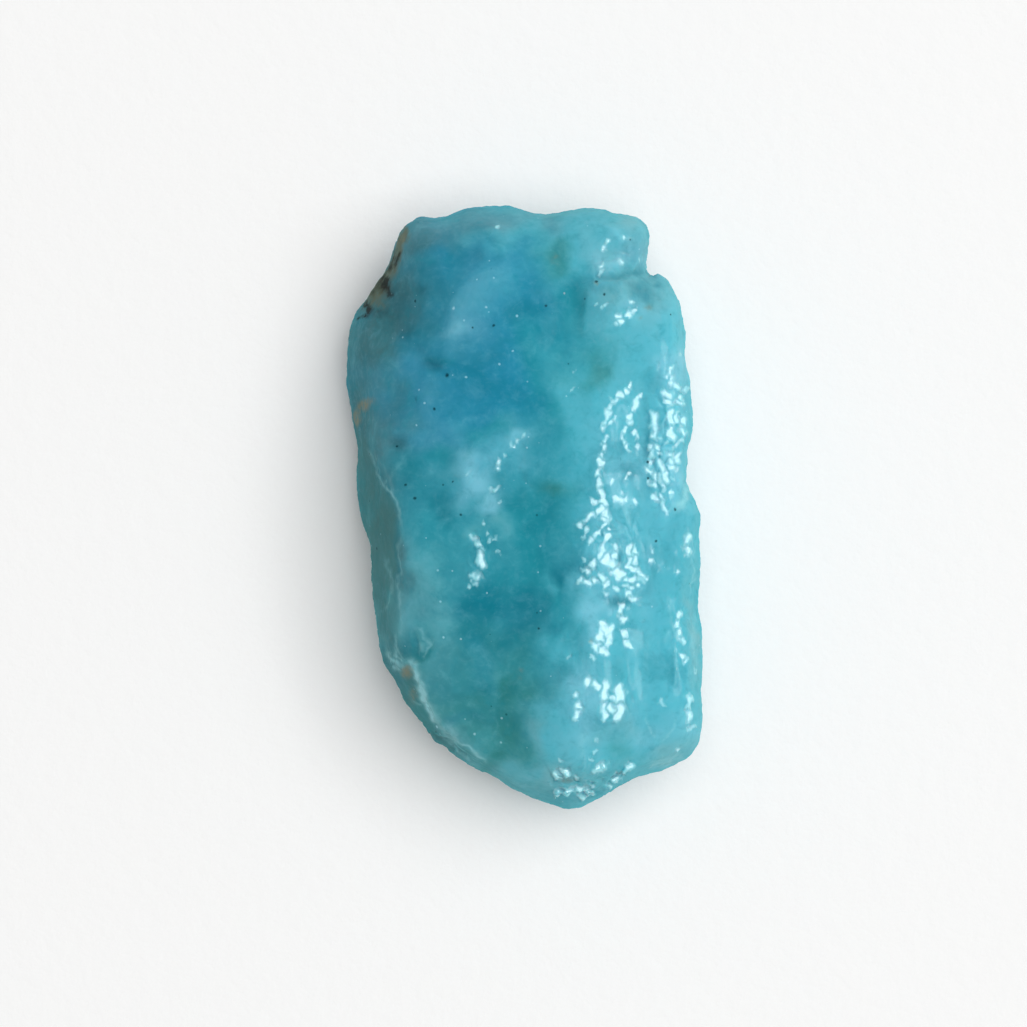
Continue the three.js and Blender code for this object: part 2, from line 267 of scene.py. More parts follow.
# Small fresh flakes that face the window. Each reaches as far as its number says, in mm, to either side
# of the line through its points.
flakes = {
    "first ridge": [
        (0.13, (5.3, 6.1), (5.1, 5.8)), (0.2, (4.75, 5.6), (4.4, 5.3)), (0.17, (4.3, 5.1), (4.1, 4.6)),
        (0.14, (4.05, 4.4), (3.9, 3.9)), (0.11, (4.1, 3.5), (3.9, 3.0), (3.87, 2.5)),
        (0.17, (3.8, 2.3), (3.7, 1.6)), (0.15, (3.68, 1.3), (3.75, 0.9), (3.87, 0.5)),
        (0.1, (4.5, 4.5), (4.3, 4.1)),
    ],
    "second ridge": [
        (0.12, (5.8, 5.7), (5.65, 5.3), (5.4, 4.9)), (0.15, (5.3, 4.6), (5.2, 4.2)),
        (0.13, (5.0, 3.95), (4.85, 3.4), (4.8, 3.05), (5.15, 2.86)), (0.1, (5.45, 3.8), (5.6, 3.45)),
        (0.1, (5.64, 3.0)), (0.1, (4.4, 1.3)), (0.1, (5.1, 1.4), (5.25, 1.6)), (0.09, (4.9, 0.8)),
        (0.09, (4.5, 0.4), (5.0, 0.4)), (0.09, (5.4, 0.32), (5.6, 0.32)),
    ],
    "blocks": [
        (0.17, (7.3, 6.9), (7.3, 6.25)), (0.18, (7.5, 6.05), (8.0, 5.87)), (0.28, (7.1, 5.6)),
        (0.17, (7.05, 5.25), (7.4, 5.05), (7.8, 5.2)), (0.18, (7.8, 5.45)),
        (0.23, (6.45, 4.6), (6.5, 3.55)), (0.21, (7.25, 4.75), (7.3, 4.1), (7.35, 3.5)),
        (0.15, (7.6, 4.65), (7.55, 4.3)), (0.17, (7.88, 4.45), (7.88, 3.6)), (0.11, (6.8, 3.5)),
        (0.13, (7.05, 3.2)), (0.14, (7.6, 3.1), (7.85, 3.3)), (0.16, (6.2, 3.0), (6.65, 3.0)),
        (0.14, (6.4, 2.75), (6.25, 2.1)), (0.13, (6.8, 2.7)), (0.17, (7.2, 2.6), (7.65, 2.6)),
        (0.15, (7.3, 2.3), (7.65, 2.3)), (0.15, (7.25, 1.95), (7.55, 1.95)),
        (0.16, (6.15, 2.0), (6.35, 1.6), (6.6, 1.35)), (0.17, (6.75, 2.3), (7.0, 1.85), (7.07, 1.3)),
        (0.14, (6.7, 1.57), (6.95, 0.93)), (0.11, (7.4, 1.4)),
        (0.15, (6.2, 1.3), (6.25, 0.86), (6.5, 1.07)), (0.11, (7.36, 0.7), (7.25, 0.46)),
        (0.16, (6.4, 0.6), (6.4, 0.25), (6.8, 0.0), (7.1, -0.14)), (0.14, (6.86, 0.57), (6.9, 0.25)),
    ],
    "wrinkles": [
        (0.16, (3.4, 0.27), (4.0, 0.27)), (0.16, (3.8, -0.1), (3.35, -0.1), (3.2, -0.57), (2.75, -0.96)),
        (0.21, (4.04, -0.36), (4.04, -0.7)), (0.12, (3.07, -1.07), (3.0, -1.5)),
        (0.11, (4.0, -0.86), (3.54, -1.43), (3.2, -1.8)), (0.12, (4.25, -1.04)),
        (0.15, (4.14, -1.43), (3.9, -2.14), (3.7, -2.43)), (0.16, (4.5, -1.9), (4.55, -2.4)),
        (0.31, (4.1, -2.6), (4.36, -3.14), (4.75, -3.45)), (0.2, (3.5, -2.8), (3.07, -3.2)),
        (0.19, (5.25, -1.93), (5.1, -2.4), (5.18, -2.86), (5.57, -3.3), (6.0, -3.5)),
        (0.18, (5.5, -2.1), (5.5, -2.86)), (0.16, (5.0, -3.6), (5.85, -3.6)),
        (0.18, (2.75, -3.7), (3.57, -3.7)), (0.18, (3.8, -3.36), (4.07, -3.93)), (0.15, (4.54, -4.04)),
        (0.14, (4.04, -4.3)), (0.12, (5.0, -3.97), (5.6, -3.97)), (0.18, (5.14, -4.3), (5.43, -4.57)),
        (0.12, (6.3, -2.2)), (0.12, (6.3, -2.7)), (0.12, (2.9, -2.6)),
    ],
    "bosses": [
        (0.18, (4.75, -4.9), (4.9, -5.43), (4.9, -5.7)), (0.12, (5.2, -5.07)),
        (0.14, (4.9, -6.2), (5.14, -6.96)), (0.25, (3.95, -5.9), (3.75, -6.6)),
        (0.2, (4.3, -6.1), (4.15, -6.85)), (0.22, (3.46, -6.9), (4.0, -7.25)), (0.15, (3.4, -7.5)),
        (0.22, (3.1, -8.7), (3.3, -9.05), (3.6, -8.95)), (0.18, (2.5, -9.4)),
        (0.25, (2.7, -9.95), (2.6, -10.4)), (0.2, (4.0, -8.95), (3.9, -9.8), (3.95, -10.5)),
        (0.3, (4.75, -9.1), (5.0, -9.8), (4.65, -10.45)), (0.3, (4.35, -10.1)), (0.2, (4.4, -9.5)),
        (0.14, (3.6, -11.7)), (0.12, (3.5, -12.2)), (0.12, (3.36, -12.6)), (0.12, (2.14, -7.5)),
    ],
    "tip": [
        (0.25, (1.6, -13.4), (2.05, -13.25)), (0.25, (3.65, -13.1), (3.95, -12.9)), (0.13, (2.6, -13.5)),
        (0.11, (1.75, -12.7)), (0.19, (1.6, -14.3), (2.3, -14.15), (2.86, -14.05)),
        (0.22, (2.8, -14.4), (3.2, -14.25)), (0.19, (4.5, -13.64), (5.07, -13.4), (5.3, -12.9)),
        (0.14, (4.2, -13.9)), (0.17, (3.4, -13.86)),
    ],
    "right rim": [
        (0.2, (8.1, -1.5), (8.0, -1.8), (8.14, -2.3)), (0.12, (7.6, -3.3)),
        (0.15, (7.66, -5.3), (7.66, -5.86)), (0.15, (7.64, -6.14), (7.9, -6.75)),
        (0.15, (7.8, -7.4), (8.05, -7.75)), (0.14, (8.5, -8.14)),
        (0.16, (8.2, -9.5), (8.32, -10.14), (8.2, -10.7)), (0.13, (8.15, -11.07), (8.4, -11.0)),
        (0.14, (7.6, -12.1)), (0.11, (6.8, -9.7), (6.95, -9.95)), (0.12, (7.8, 7.7)),
    ],
    "far right pad": [
        (0.2, (4.7, 9.6)), (0.11, (5.2, 9.6), (5.55, 9.85)), (0.11, (4.45, 9.1), (4.8, 9.35)),
        (0.1, (3.85, 10.05), (4.1, 10.2)), (0.09, (3.54, 10.1)), (0.09, (5.3, 10.3)),
        (0.13, (3.95, 12.85), (4.15, 13.3)), (0.1, (3.7, 11.65), (3.9, 12.15)), (0.15, (4.8, 12.2)),
        (0.09, (5.67, 12.35)), (0.09, (4.96, 13.5)), (0.09, (2.4, 6.7)), (0.08, (2.36, 5.9)),
        (0.11, (-1.3, 14.05)),
    ],
    "knoll": [
        (0.12, (-0.07, 3.54)), (0.11, (-0.33, 3.35)), (0.11, (-0.6, 3.02)), (0.09, (-1.02, 2.64)),
        (0.14, (-1.25, 2.2), (-1.38, 1.9)), (0.13, (-1.4, 0.98), (-1.75, 0.8)), (0.11, (-2.83, 1.68)),
        (0.09, (-1.3, 0.25)),
    ],
    "plateau": [
        (0.13, (-2.65, -1.42), (-2.46, -1.83), (-2.15, -2.04)), (0.23, (-2.25, -2.4), (-2.17, -2.95)),
        (0.23, (-2.55, -3.4), (-2.3, -3.45)), (0.16, (-2.5, -3.8)), (0.11, (-2.85, -4.04)),
        (0.13, (-1.73, -1.68)), (0.11, (-1.46, -1.64)), (0.13, (-1.3, -2.2)), (0.1, (-1.9, -1.25)),
        (0.09, (-2.1, -0.8)),
    ],
}

flaking = {
    "deepest": 0.2,               # mm that a flake may be sunk into the skin, measured along its normal
    "proudest": 0.3,              # mm that it may stand proud of it
    "jitter": 0.018,              # slope, from one flake to the next
    "reach": 1.6,                 # of a flake's half width, past which it changes nothing
    "spacing": (1.6, 2.2),        # half widths from one to the next: across the stone, and more along it
    "uneven": 0.3,                # of the spacing
    "ragged": 0.06,               # mm, how far the flakes' outlines wander
    "raggedSizes": (0.7, 0.42, 0.27, 0.19),
    "ripple": 0.015,              # slope of the ripples on the flakes
    "rippleSizes": (0.62, 0.5, 0.41, 0.34, 0.29, 0.25),
    "softened": 2,                # rounds of smoothing, which wear the flakes' edges down
    "wornFrom": 0.02,             # of a flake's strength, from which they do
    "steepest": (0.1, 0.3),       # the normal's upward share over which flakes die out down the sides
    "lowest": 2.0,                # mm above the floor
    "seed": 5,
}

# Soft swellings and hollows: the middle, the reach across and along, and the height, in mm. Those on the
# plain side keep it from mirroring the window, and those at the rim settle the outline.
swellings = {
    "plain side": [
        (7.1, -8.0, 1.3, 4.0, 0.15), (5.35, -7.2, 0.9, 3.2, -0.12), (7.3, 7.7, 0.6, 1.5, 0.1),
        (5.8, -0.3, 1.2, 1.2, 0.15),
    ],
    "rim": [
        (-1.7, 15.0, 1.3, 0.7, -0.17), (4.8, 14.7, 1.2, 0.7, -0.19), (-4.7, 14.5, 0.9, 0.5, -0.1),
        (-6.7, 12.7, 0.5, 1.0, -0.14), (-8.9, 6.9, 0.5, 1.7, 0.14), (-8.4, 2.6, 0.5, 1.4, 0.1),
        (-8.1, -0.7, 0.5, 0.8, 0.16), (-7.5, -5.6, 0.6, 2.2, -0.18), (-4.4, -11.4, 0.5, 0.5, 0.28),
        (0.3, -14.5, 1.5, 0.6, -0.14), (3.6, -14.4, 1.0, 0.5, -0.15), (5.0, -13.9, 0.8, 0.4, -0.1),
        (8.9, -6.9, 0.5, 1.5, -0.14), (8.35, 5.2, 0.5, 1.3, -0.15), (8.2, 1.4, 0.4, 0.7, -0.12),
        (8.6, -0.3, 0.4, 0.6, 0.12), (7.05, 11.2, 0.5, 0.5, 0.12), (8.1, 8.7, 0.4, 1.0, -0.08),
        (8.8, -3.9, 0.4, 1.8, -0.1), (6.2, 12.5, 0.3, 0.6, -0.1),
    ],
}

# Where the skin is wrinkled, blocky or fibrous: the middle, the reach across and along, and how strongly.
zones = {
    "wrinkled": [
        (4.3, -2.4, 1.8, 2.4, 1.0), (4.9, 3.4, 1.3, 3.2, 0.45), (3.0, -7.9, 1.6, 3.2, 0.6),
        (4.5, -9.8, 1.2, 1.4, 0.8), (2.8, -13.6, 2.6, 1.2, 0.9), (8.0, -6.5, 0.8, 5.5, 0.7),
        (4.4, 12.2, 1.7, 1.4, 0.5), (4.6, 9.9, 1.3, 1.0, 0.5), (-2.3, -2.7, 0.8, 1.7, 0.7),
        (-1.4, 2.2, 1.4, 1.4, 0.4), (-3.4, -12.4, 1.4, 1.0, 0.6), (-6.4, -7.8, 0.6, 0.5, 0.7),
    ],
    "blocky": [(7.1, 3.0, 1.0, 3.6, 1.0), (7.6, 8.4, 0.5, 1.8, 0.5), (3.6, 5.2, 0.6, 1.2, 0.2)],
    "fibrous": [(-7.2, -2.5, 0.9, 5.2, 1.0), (-6.0, -9.6, 1.0, 2.2, 0.7), (7.2, -7.0, 1.4, 5.6, 0.35)],
}

# The skin's own relief, in mm. These are the named inputs of its tree.
skin = {
    "Swell Size": 3.2, "Swell Depth": 0.12,
    "Chip Size": 2.2, "Chip Depth": 0.1,
    "Wrinkle Size": 0.8, "Wrinkle Depth": 0.12,
    "Block Size": 0.7, "Block Depth": 0.1,
    "Fibre Size": 0.3, "Fibre Depth": 0.05,
    "Grain Size": 0.55, "Grain Depth": 0.01,
    "Dimple Size": 0.8, "Dimple Depth": 0.02,
    "Seed": 11.0,
}

# What the relief's layers are shaped with, besides their sizes and depths.
layers = {
    "bends": (2.2, 2.4),          # mm, the size and the reach of the bends that layers follow
    "blockBends": (2.2, 0.6),
    "wrinkleStretch": (1.0, 0.5, 0.7),
    "blockStretch": (1.0, 0.55, 0.8),
    "fibreStretch": (1.0, 0.14, 0.45),
    "chipRounding": 0.12,
    "chipsOnFlanks": 1.8,         # times their depth, and none on the upper side
    "grainOnFlanks": 12.0,        # times its depth
    "blockSlope": 0.22,           # of a block's size, from its edge to its flat top
    "dimpled": (0.55, 0.75),      # above this share of the cells
    "footFade": (0.05, 0.7),      # mm above the floor
    "roundsForRidges": 40,        # of blurring
    "roundsForCalm": 8,
}


# How the upper side passes into the flanks: the normal's upward share at which each thing has no part and
# at which it is full.
sides = {
    "carved": (-0.5, -0.1),
    "foot": (1.5, 3.0),           # mm above the floor, instead
    "textured": (-0.25, 0.15),
    "flank": (0.45, -0.05),       # the rough broken faces
    "strayed": (0.25, -0.15),
    "polished": (0.3, 0.65),
}


def ramp(values, none, full):
    return np.clip((values - none) / (full - none), 0, 1)


def meshObject(name, mesh):
    made = bpy.data.objects.new(name, mesh)
    bpy.context.scene.collection.objects.link(made)
    return made


def baked(piece):
    # the piece with its modifiers applied, as a plain mesh
    depsgraph = bpy.context.evaluated_depsgraph_get()
    mesh = bpy.data.meshes.new_from_object(piece.evaluated_get(depsgraph))
    piece.modifiers.clear()
    old = piece.data
    piece.data = mesh
    mesh.name = piece.name
    bpy.data.meshes.remove(old)


def roughBody():
    # an even, fine skin over the stone's solid
    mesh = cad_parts[stone["node"]].data.copy()
    work = bmesh.new()
    work.from_mesh(mesh)
    bmesh.ops.remove_doubles(work, verts=work.verts, dist=stone["weld"] * mm)
    bmesh.ops.scale(work, vec=Vector((1 / mm,) * 3), verts=work.verts)
    work.to_mesh(mesh)
    work.free()
    mesh.materials.clear()
    body = meshObject("raw_larimar", mesh)
    soften = body.modifiers.new("soften", "SUBSURF")
    soften.levels = 1
    soften.render_levels = 1
    even = body.modifiers.new("even", "REMESH")
    even.mode = "VOXEL"
    even.voxel_size = stone["voxel"]
    even.use_smooth_shade = True
    smooth = body.modifiers.new("smooth", "SMOOTH")
    smooth.factor = 0.5
    smooth.iterations = stone["smoothRounds"]
    baked(body)
    return body


def readPoints(mesh):
    points = np.empty(len(mesh.vertices) * 3)
    mesh.vertices.foreach_get("co", points)
    return points.reshape(-1, 3)


def readNormals(mesh):
    normals = np.empty(len(mesh.vertices) * 3)
    mesh.vertex_normals.foreach_get("vector", normals)
    return normals.reshape(-1, 3)


def readVectors(mesh, name):
    vectors = np.empty(len(mesh.vertices) * 3)
    mesh.attributes[name].data.foreach_get("vector", vectors)
    return vectors.reshape(-1, 3)


def readMask(mesh, name):
    values = np.empty(len(mesh.vertices))
    mesh.attributes[name].data.foreach_get("value", values)
    return values


def writePoints(mesh, points):
    mesh.vertices.foreach_set("co", points.astype(np.float32).ravel())
    mesh.update()


def storeMask(mesh, name, values):
    layer = mesh.attributes.new(name, "FLOAT", "POINT")
    layer.data.foreach_set("value", values.astype(np.float32))


def roundedLine(points):
    # a Catmull-Rom curve through the points, in short straight pieces
    knots = np.array([points[0], *points, points[-1]], float)
    pieces = []
    for a, b, c, d in zip(knots, knots[1:], knots[2:], knots[3:]):
        count = max(2, int(np.hypot(*(c - b)) / carving["lineStep"]))
        t = np.linspace(0, 1, count, endpoint=False)[:, None]
        bend = (2 * a - 5 * b + 4 * c - d) * t**2 + (3 * b - a - 3 * c + d) * t**3
        pieces.append(0.5 * (2 * b + (c - a) * t + bend))
    return np.vstack([*pieces, knots[-1:]])


def besideLine(plan, line):
    # each point's distance to the right of the line, negative to its left, and its place along it, 0 to 1
    nearest = np.full(len(plan), np.inf)
    side = np.ones(len(plan))
    along = np.zeros(len(plan))
    count = len(line) - 1
    for i in range(count):
        run = line[i + 1] - line[i]
        offset = plan - line[i]
        t = np.clip(offset @ run / (run @ run), 0, 1)
        gap = offset - t[:, None] * run
        distance = np.hypot(gap[:, 0], gap[:, 1])
        closer = distance < nearest
        nearest[closer] = distance[closer]
        turn = run[0] * offset[:, 1] - run[1] * offset[:, 0]
        side[closer] = np.where(turn[closer] > 0, -1, 1)
        along[closer] = (i + t[closer]) / count
    return nearest * side, along


def nearLine(plan, line, reach):
    low = line.min(0) - reach
    high = line.max(0) + reach
    return ((plan > low) & (plan < high)).all(1)


def edgeHeight(kind, beside, width):
    # a scarp's two sides fade out over a few widths
    if kind == "scarp":
        return -0.5 * np.tanh(beside / width) * np.exp(-np.abs(beside) / (carving["scarpFade"] * width))
    ridge = np.exp(-((beside / width) ** 2))
    return ridge if kind == "lip" else -ridge


def litAndShadedEdge(kind, beside, width):
    # painted light on a scarp's high side and along a lip, and painted shade below a scarp
    if kind == "scarp":
        return -np.tanh(0.7 * beside / width) * np.exp(-np.abs(beside))
    return np.exp(-((beside / width) ** 2))


def upperShare(points, normals):
    # 1 on the upper side, falling to nothing on the undercut and near the floor
    return ramp(normals[:, 2], *sides["carved"]) * ramp(points[:, 2], *sides["foot"])


def squareNotch(points, plan):
    # the far corner's block ends in a square notch, so whatever fills it goes back to its nearer side
    corner = carving["notchCorner"]
    over = np.clip(plan - corner, 0, None)
    filling = (over > 0).all(1) & (plan[:, 1] < corner[1] + carving["notchLength"])
    nearer = over[filling].argmin(1)
    points[np.flatnonzero(filling), nearer] -= over[filling].min(1)


def carveEdges(body):
    points, normals = readPoints(body.data), readNormals(body.data)
    plan = seenPlan(points)
    lift = np.zeros(len(points))
    edgeLightAndShade = np.zeros(len(points))
    for kind, depth, width, paler, route in edges.values():
        line = roundedLine(route)
        close = nearLine(plan, line, carving["reach"])
        beside, along = besideLine(plan[close], line)
        taper = np.sin(np.pi * along) ** 0.5
        lift[close] += depth * taper * edgeHeight(kind, beside, width)
        # painted light and shade along the edges
        edgeLightAndShade[close] += paler * taper * litAndShadedEdge(kind, beside, width)
    for group in swellings.values():
        for x, y, across, along, height in group:
            lift += height * np.exp(-(((plan[:, 0] - x) / across) ** 2) - ((plan[:, 1] - y) / along) ** 2)
    upper = upperShare(points, normals)
    points += normals * (lift * upper)[:, None]
    squareNotch(points, plan)
    writePoints(body.data, points)
    storeMask(body.data, "edgeLightAndShade", edgeLightAndShade * upper)


def wandering(plan, sizes, amount, seed):
    # the places pushed about by a few random waves, the longest of them by the full amount
    chance = np.random.default_rng(seed)
    moved = plan.copy()
    for size in sizes:
        for axis in (0, 1):
            turn = chance.uniform(0, 2 * np.pi)
            wave = np.array([np.cos(turn), np.sin(turn)]) * 2 * np.pi / size
            moved[:, axis] += amount * size / sizes[0] * np.sin(plan @ wave + chance.uniform(0, 6))
    return moved


def rippleHeight(plan):
    # crossing ripples, so that each flake mirrors the window in patches
    chance = np.random.default_rng(flaking["seed"])
    height = np.zeros(len(plan))
    for size in flaking["rippleSizes"]:
        turn = chance.uniform(0, 2 * np.pi)
        wave = np.array([np.cos(turn), np.sin(turn)]) * 2 * np.pi / size
        height += flaking["ripple"] * size / (2 * np.pi) * np.sin(plan @ wave + chance.uniform(0, 6))
    return height


def beadsAlong(width, route, chance):
    # the middles of the flakes along a route, closer together where it runs across the stone
    route = np.array(route, float)
    if len(route) == 1:
        return route
    runs = route[1:] - route[:-1]
    lengths = np.hypot(*runs.T)
    total = lengths.sum()
    across, more = flaking["spacing"]
    spacing = width * (across + more * np.abs(runs[:, 1]).sum() / total)
    count = max(2, round(total / spacing))
    places = np.linspace(0, total, count)
    places[1:-1] += chance.uniform(-flaking["uneven"], flaking["uneven"], count - 2) * spacing
    reached = np.concatenate([[0], np.cumsum(lengths)])
    return np.stack([np.interp(places, reached, route[:, i]) for i in (0, 1)], axis=1)


def flakeSlopes(middles):
    # the slope of a face that mirrors the window to the camera, at each of the middles
    toEye = np.array(bpy.context.scene.camera.location) / mm - middles
    toEye /= np.linalg.norm(toEye, axis=1)[:, None]
    half = toEye + np.array(wayTo(lamps["window"]))
    return -half[:, :2] / half[:, 2:]


def cutFlakes(body):
    # each flake is a small plane facing the window, set into the skin at its own middle, and every place
    # belongs to the flake that it lies deepest in
    points = readPoints(body.data)
    plan = wandering(seenPlan(points), flaking["raggedSizes"], flaking["ragged"], flaking["seed"])
    calm = readVectors(body.data, "calm")
    upward = readNormals(body.data)[:, 2]
    facing = ramp(upward, *flaking["steepest"])
    upper = (facing > 0) & (points[:, 2] > flaking["lowest"])
    chance = np.random.default_rng(flaking["seed"])
    outward = np.full(len(points), np.inf)
    plane = points[:, 2].copy()
    for group in flakes.values():
        for width, *route in group:
            beads = beadsAlong(width, route, chance)
            near = np.flatnonzero(nearLine(plan, beads, flaking["reach"] * width) & upper)
            offset = plan[near, None] - beads[None]
            distance = np.hypot(offset[..., 0], offset[..., 1])
            own = distance.argmin(1)
            middle = calm[near[distance.argmin(0)]][own]
            turn = flakeSlopes(middle) + chance.normal(0, flaking["jitter"], (len(beads), 2))[own]
            beside = besideLine(plan[near], beads)[0] if len(beads) > 1 else distance.min(1)
            beside = np.abs(beside) / width
            deeper = beside < outward[near]
            outward[near[deeper]] = beside[deeper]
            level = middle[:, 2] + ((points[near, :2] - middle[:, :2]) * turn).sum(1)
            plane[near[deeper]] = level[deeper]
    # where the skin falls away far below its flake's plane, as it does down the sides, the flake ends
    tilt = np.clip(upward, flaking["steepest"][1], 1)
    rise = (plane + rippleHeight(plan) - points[:, 2]) * tilt
    flaked = np.exp(-(outward**6)) * facing * np.clip(2 - rise / flaking["proudest"], 0, 1)
    rise = np.clip(rise, -flaking["deepest"], flaking["proudest"]) / tilt
    points[:, 2] += flaked * rise
    writePoints(body.data, points)
    storeMask(body.data, "flaked", flaked)


def wearFlakes(body):
    group = body.vertex_groups.new(name="flakes")
    worn = readMask(body.data, "flaked") > flaking["wornFrom"]
    group.add(np.flatnonzero(worn).tolist(), 1.0, "REPLACE")
    wear = body.modifiers.new("wear", "SMOOTH")
    wear.vertex_group = group.name
    wear.factor = 0.5
    wear.iterations = flaking["softened"]
    baked(body)
    body.vertex_groups.clear()


def zoneMask(plan, spots):
    # the strongest of some soft round spots
    mask = np.zeros(len(plan))
    for x, y, across, along, strength in spots:
        spread = ((plan[:, 0] - x) / across) ** 2 + ((plan[:, 1] - y) / along) ** 2
        mask = np.maximum(mask, strength * np.exp(-spread**1.5))
    return mask


def markZones(body):
    points, normals = readPoints(body.data), readNormals(body.data)
    upper = ramp(normals[:, 2], *sides["textured"])
    for name, spots in zones.items():
        storeMask(body.data, name, zoneMask(seenPlan(points), spots) * upper)
    # the flanks and the underside are rough broken faces all over
    storeMask(body.data, "flank", ramp(normals[:, 2], *sides["flank"]))


def named(tree, name, kind="FLOAT"):
    made = addNode(tree, "GeometryNodeInputNamedAttribute", {"Name": name}, data_type=kind)
    return made.outputs["Attribute"]


def stored(tree, geometry, name, value, kind="FLOAT"):
    inputs = {"Geometry": geometry, "Name": name, "Value": value}
    made = addNode(tree, "GeometryNodeStoreNamedAttribute", inputs, data_type=kind, domain="POINT")
    return made.outputs["Geometry"]


def blurred(tree, value, rounds):
    inputs = {"Value": value, "Iterations": rounds}
    return addNode(tree, "GeometryNodeBlurAttribute", inputs, data_type="FLOAT_VECTOR").outputs["Value"]


def skinTree(material):
    # the rough skin as a rule: swells, chips, wrinkles, blocks, fibres, grain and dimples, all of them
    # along the normals
    tree = bpy.data.node_groups.new("rough skin", "GeometryNodeTree")
    face = tree.interface
    face.new_socket("Geometry", in_out="INPUT", socket_type="NodeSocketGeometry")
    for name, value in skin.items():
        face.new_socket(name, in_out="INPUT", socket_type="NodeSocketFloat").default_value = value
    face.new_socket("Geometry", in_out="OUTPUT", socket_type="NodeSocketGeometry")
    given = addNode(tree, "NodeGroupInput").outputs
    here = addNode(tree, "GeometryNodeInputPosition").outputs[0]
    seed = addNode(tree, "ShaderNodeCombineXYZ", {0: given["Seed"], 1: given["Seed"], 2: 0.0}).outputs[0]
    place = vectorMaths(tree, "ADD", here, seed)
    bent = warped(tree, place, *layers["bends"])
    flank = named(tree, "flank")

    def centred(value, depth, twice=2.0):
        return times(tree, maths(tree, "SUBTRACT", value, 0.5), depth, twice)

    swells = centred(noiseAt(tree, place, given["Swell Size"], 2.0), given["Swell Depth"])

    rounding = layers["chipRounding"]
    chips = cellsAt(tree, bent, given["Chip Size"], "SMOOTH_F1", Smoothness=rounding)["Distance"]
    chips = centred(chips, given["Chip Depth"], 1.6)
    chips = times(tree, chips, remap(tree, flank, 0.0, 1.0, 0.0, layers["chipsOnFlanks"]))

    # wrinkles: the folds of a noise that is stretched along the stone
    stretched = vectorMaths(tree, "MULTIPLY", bent, layers["wrinkleStretch"])
    fold = noiseAt(tree, stretched, given["Wrinkle Size"], 3.0, 0.5, 0.6)
    fold = maths(tree, "ABSOLUTE", maths(tree, "SUBTRACT", fold, 0.5))
    fold = maths(tree, "SUBTRACT", 1.0, maths(tree, "MULTIPLY", fold, 4.0, clamp=True))
    wrinkles = times(tree, fold, given["Wrinkle Depth"], named(tree, "wrinkled"))

    # blocks: flat-topped cells, twice as long as wide
    long = warped(tree, place, *layers["blockBends"])
    long = vectorMaths(tree, "MULTIPLY", long, layers["blockStretch"])
    edge = cellsAt(tree, long, given["Block Size"], "DISTANCE_TO_EDGE")["Distance"]
    tall = splitVector(tree, cellsAt(tree, long, given["Block Size"])["Color"])[0]
    block = times(tree, remap(tree, edge, 0.0, layers["blockSlope"]), maths(tree, "ADD", 0.4, tall))
    blocks = times(tree, block, given["Block Depth"], named(tree, "blocky"))

    lengthways = vectorMaths(tree, "MULTIPLY", bent, layers["fibreStretch"])
    fibre = centred(noiseAt(tree, lengthways, given["Fibre Size"], 2.0), given["Fibre Depth"])
    fibres = times(tree, fibre, named(tree, "fibrous"))

    grain = centred(noiseAt(tree, place, given["Grain Size"], 3.0), given["Grain Depth"])
    grain = times(tree, grain, remap(tree, flank, 0.0, 1.0, 1.0, layers["grainOnFlanks"]))

    pits = cellsAt(tree, place, given["Dimple Size"])
    chosen = remap(tree, splitVector(tree, pits["Color"])[0], *layers["dimpled"])
    sunk = remap(tree, pits["Distance"], 0.0, 0.35, -1.0, 0.0)
    dimples = times(tree, sunk, given["Dimple Depth"], chosen)

    total = swells
    for layer in (chips, wrinkles, blocks, fibres, grain, dimples):
        total = maths(tree, "ADD", total, layer)
    # the relief dies out towards the resting face
    total = times(tree, total, remap(tree, splitVector(tree, here)[2], *layers["footFade"]))
    normal = addNode(tree, "GeometryNodeInputNormal").outputs[0]
    offset = scaled(tree, normal, total)
    moved = addNode(tree, "GeometryNodeSetPosition", {"Geometry": given["Geometry"], "Offset": offset})

    # how far each place stands out from those round it, and where it would lie if the skin were calm
    stand = vectorMaths(tree, "SUBTRACT", here, blurred(tree, here, layers["roundsForRidges"]))
    stand = vectorMaths(tree, "DOT_PRODUCT", stand, normal)
    kept = stored(tree, moved.outputs["Geometry"], "ridge", stand)
    kept = stored(tree, kept, "calm", blurred(tree, here, layers["roundsForCalm"]), "FLOAT_VECTOR")
    real = addNode(tree, "GeometryNodeRealizeInstances", {"Geometry": kept})
    covered = {"Geometry": real.outputs["Geometry"], "Material": material}
    coloured = addNode(tree, "GeometryNodeSetMaterial", covered)
    addNode(tree, "NodeGroupOutput", {"Geometry": coloured.outputs["Geometry"]})
    return tree


def growSkin(body, material):
    tree = skinTree(material)
    modifier = body.modifiers.new("rough skin", "NODES")
    modifier.node_group = tree
    for item in tree.interface.items_tree:
        if item.in_out == "INPUT" and item.name in skin:
            modifier[item.identifier] = skin[item.name]
    baked(body)


def countTriangles(mesh):
    return sum(len(face.vertices) - 2 for face in mesh.polygons)


def thinPlainPlaces(body):
    # the fine mesh stays where there are flakes, folds or veins, and the rest is thinned
    keep = np.maximum(readMask(body.data, "flaked"), veinMask(body))
    for name in ("wrinkled", "blocky"):
        keep = np.maximum(keep, stone["foldShare"] * readMask(body.data, name))
    group = body.vertex_groups.new(name="plain")
    group.add(np.flatnonzero(keep < stone["keepFrom"]).tolist(), 1.0, "REPLACE")
    thin = body.modifiers.new("thin", "DECIMATE")
    thin.vertex_group = group.name
    thin.ratio = min(1.0, stone["triangles"] / countTriangles(body.data))
    baked(body)
    body.vertex_groups.clear()


def flattenBase(body):
    # the skin near the floor settles on the resting face, and nothing reaches below it
    points = readPoints(body.data)
    z = points[:, 2]
    z[z < stone["flatHeight"]] = 0.0
    points[:, 2] = np.maximum(z, 0.0)
    writePoints(body.data, points)


# the stone's colours

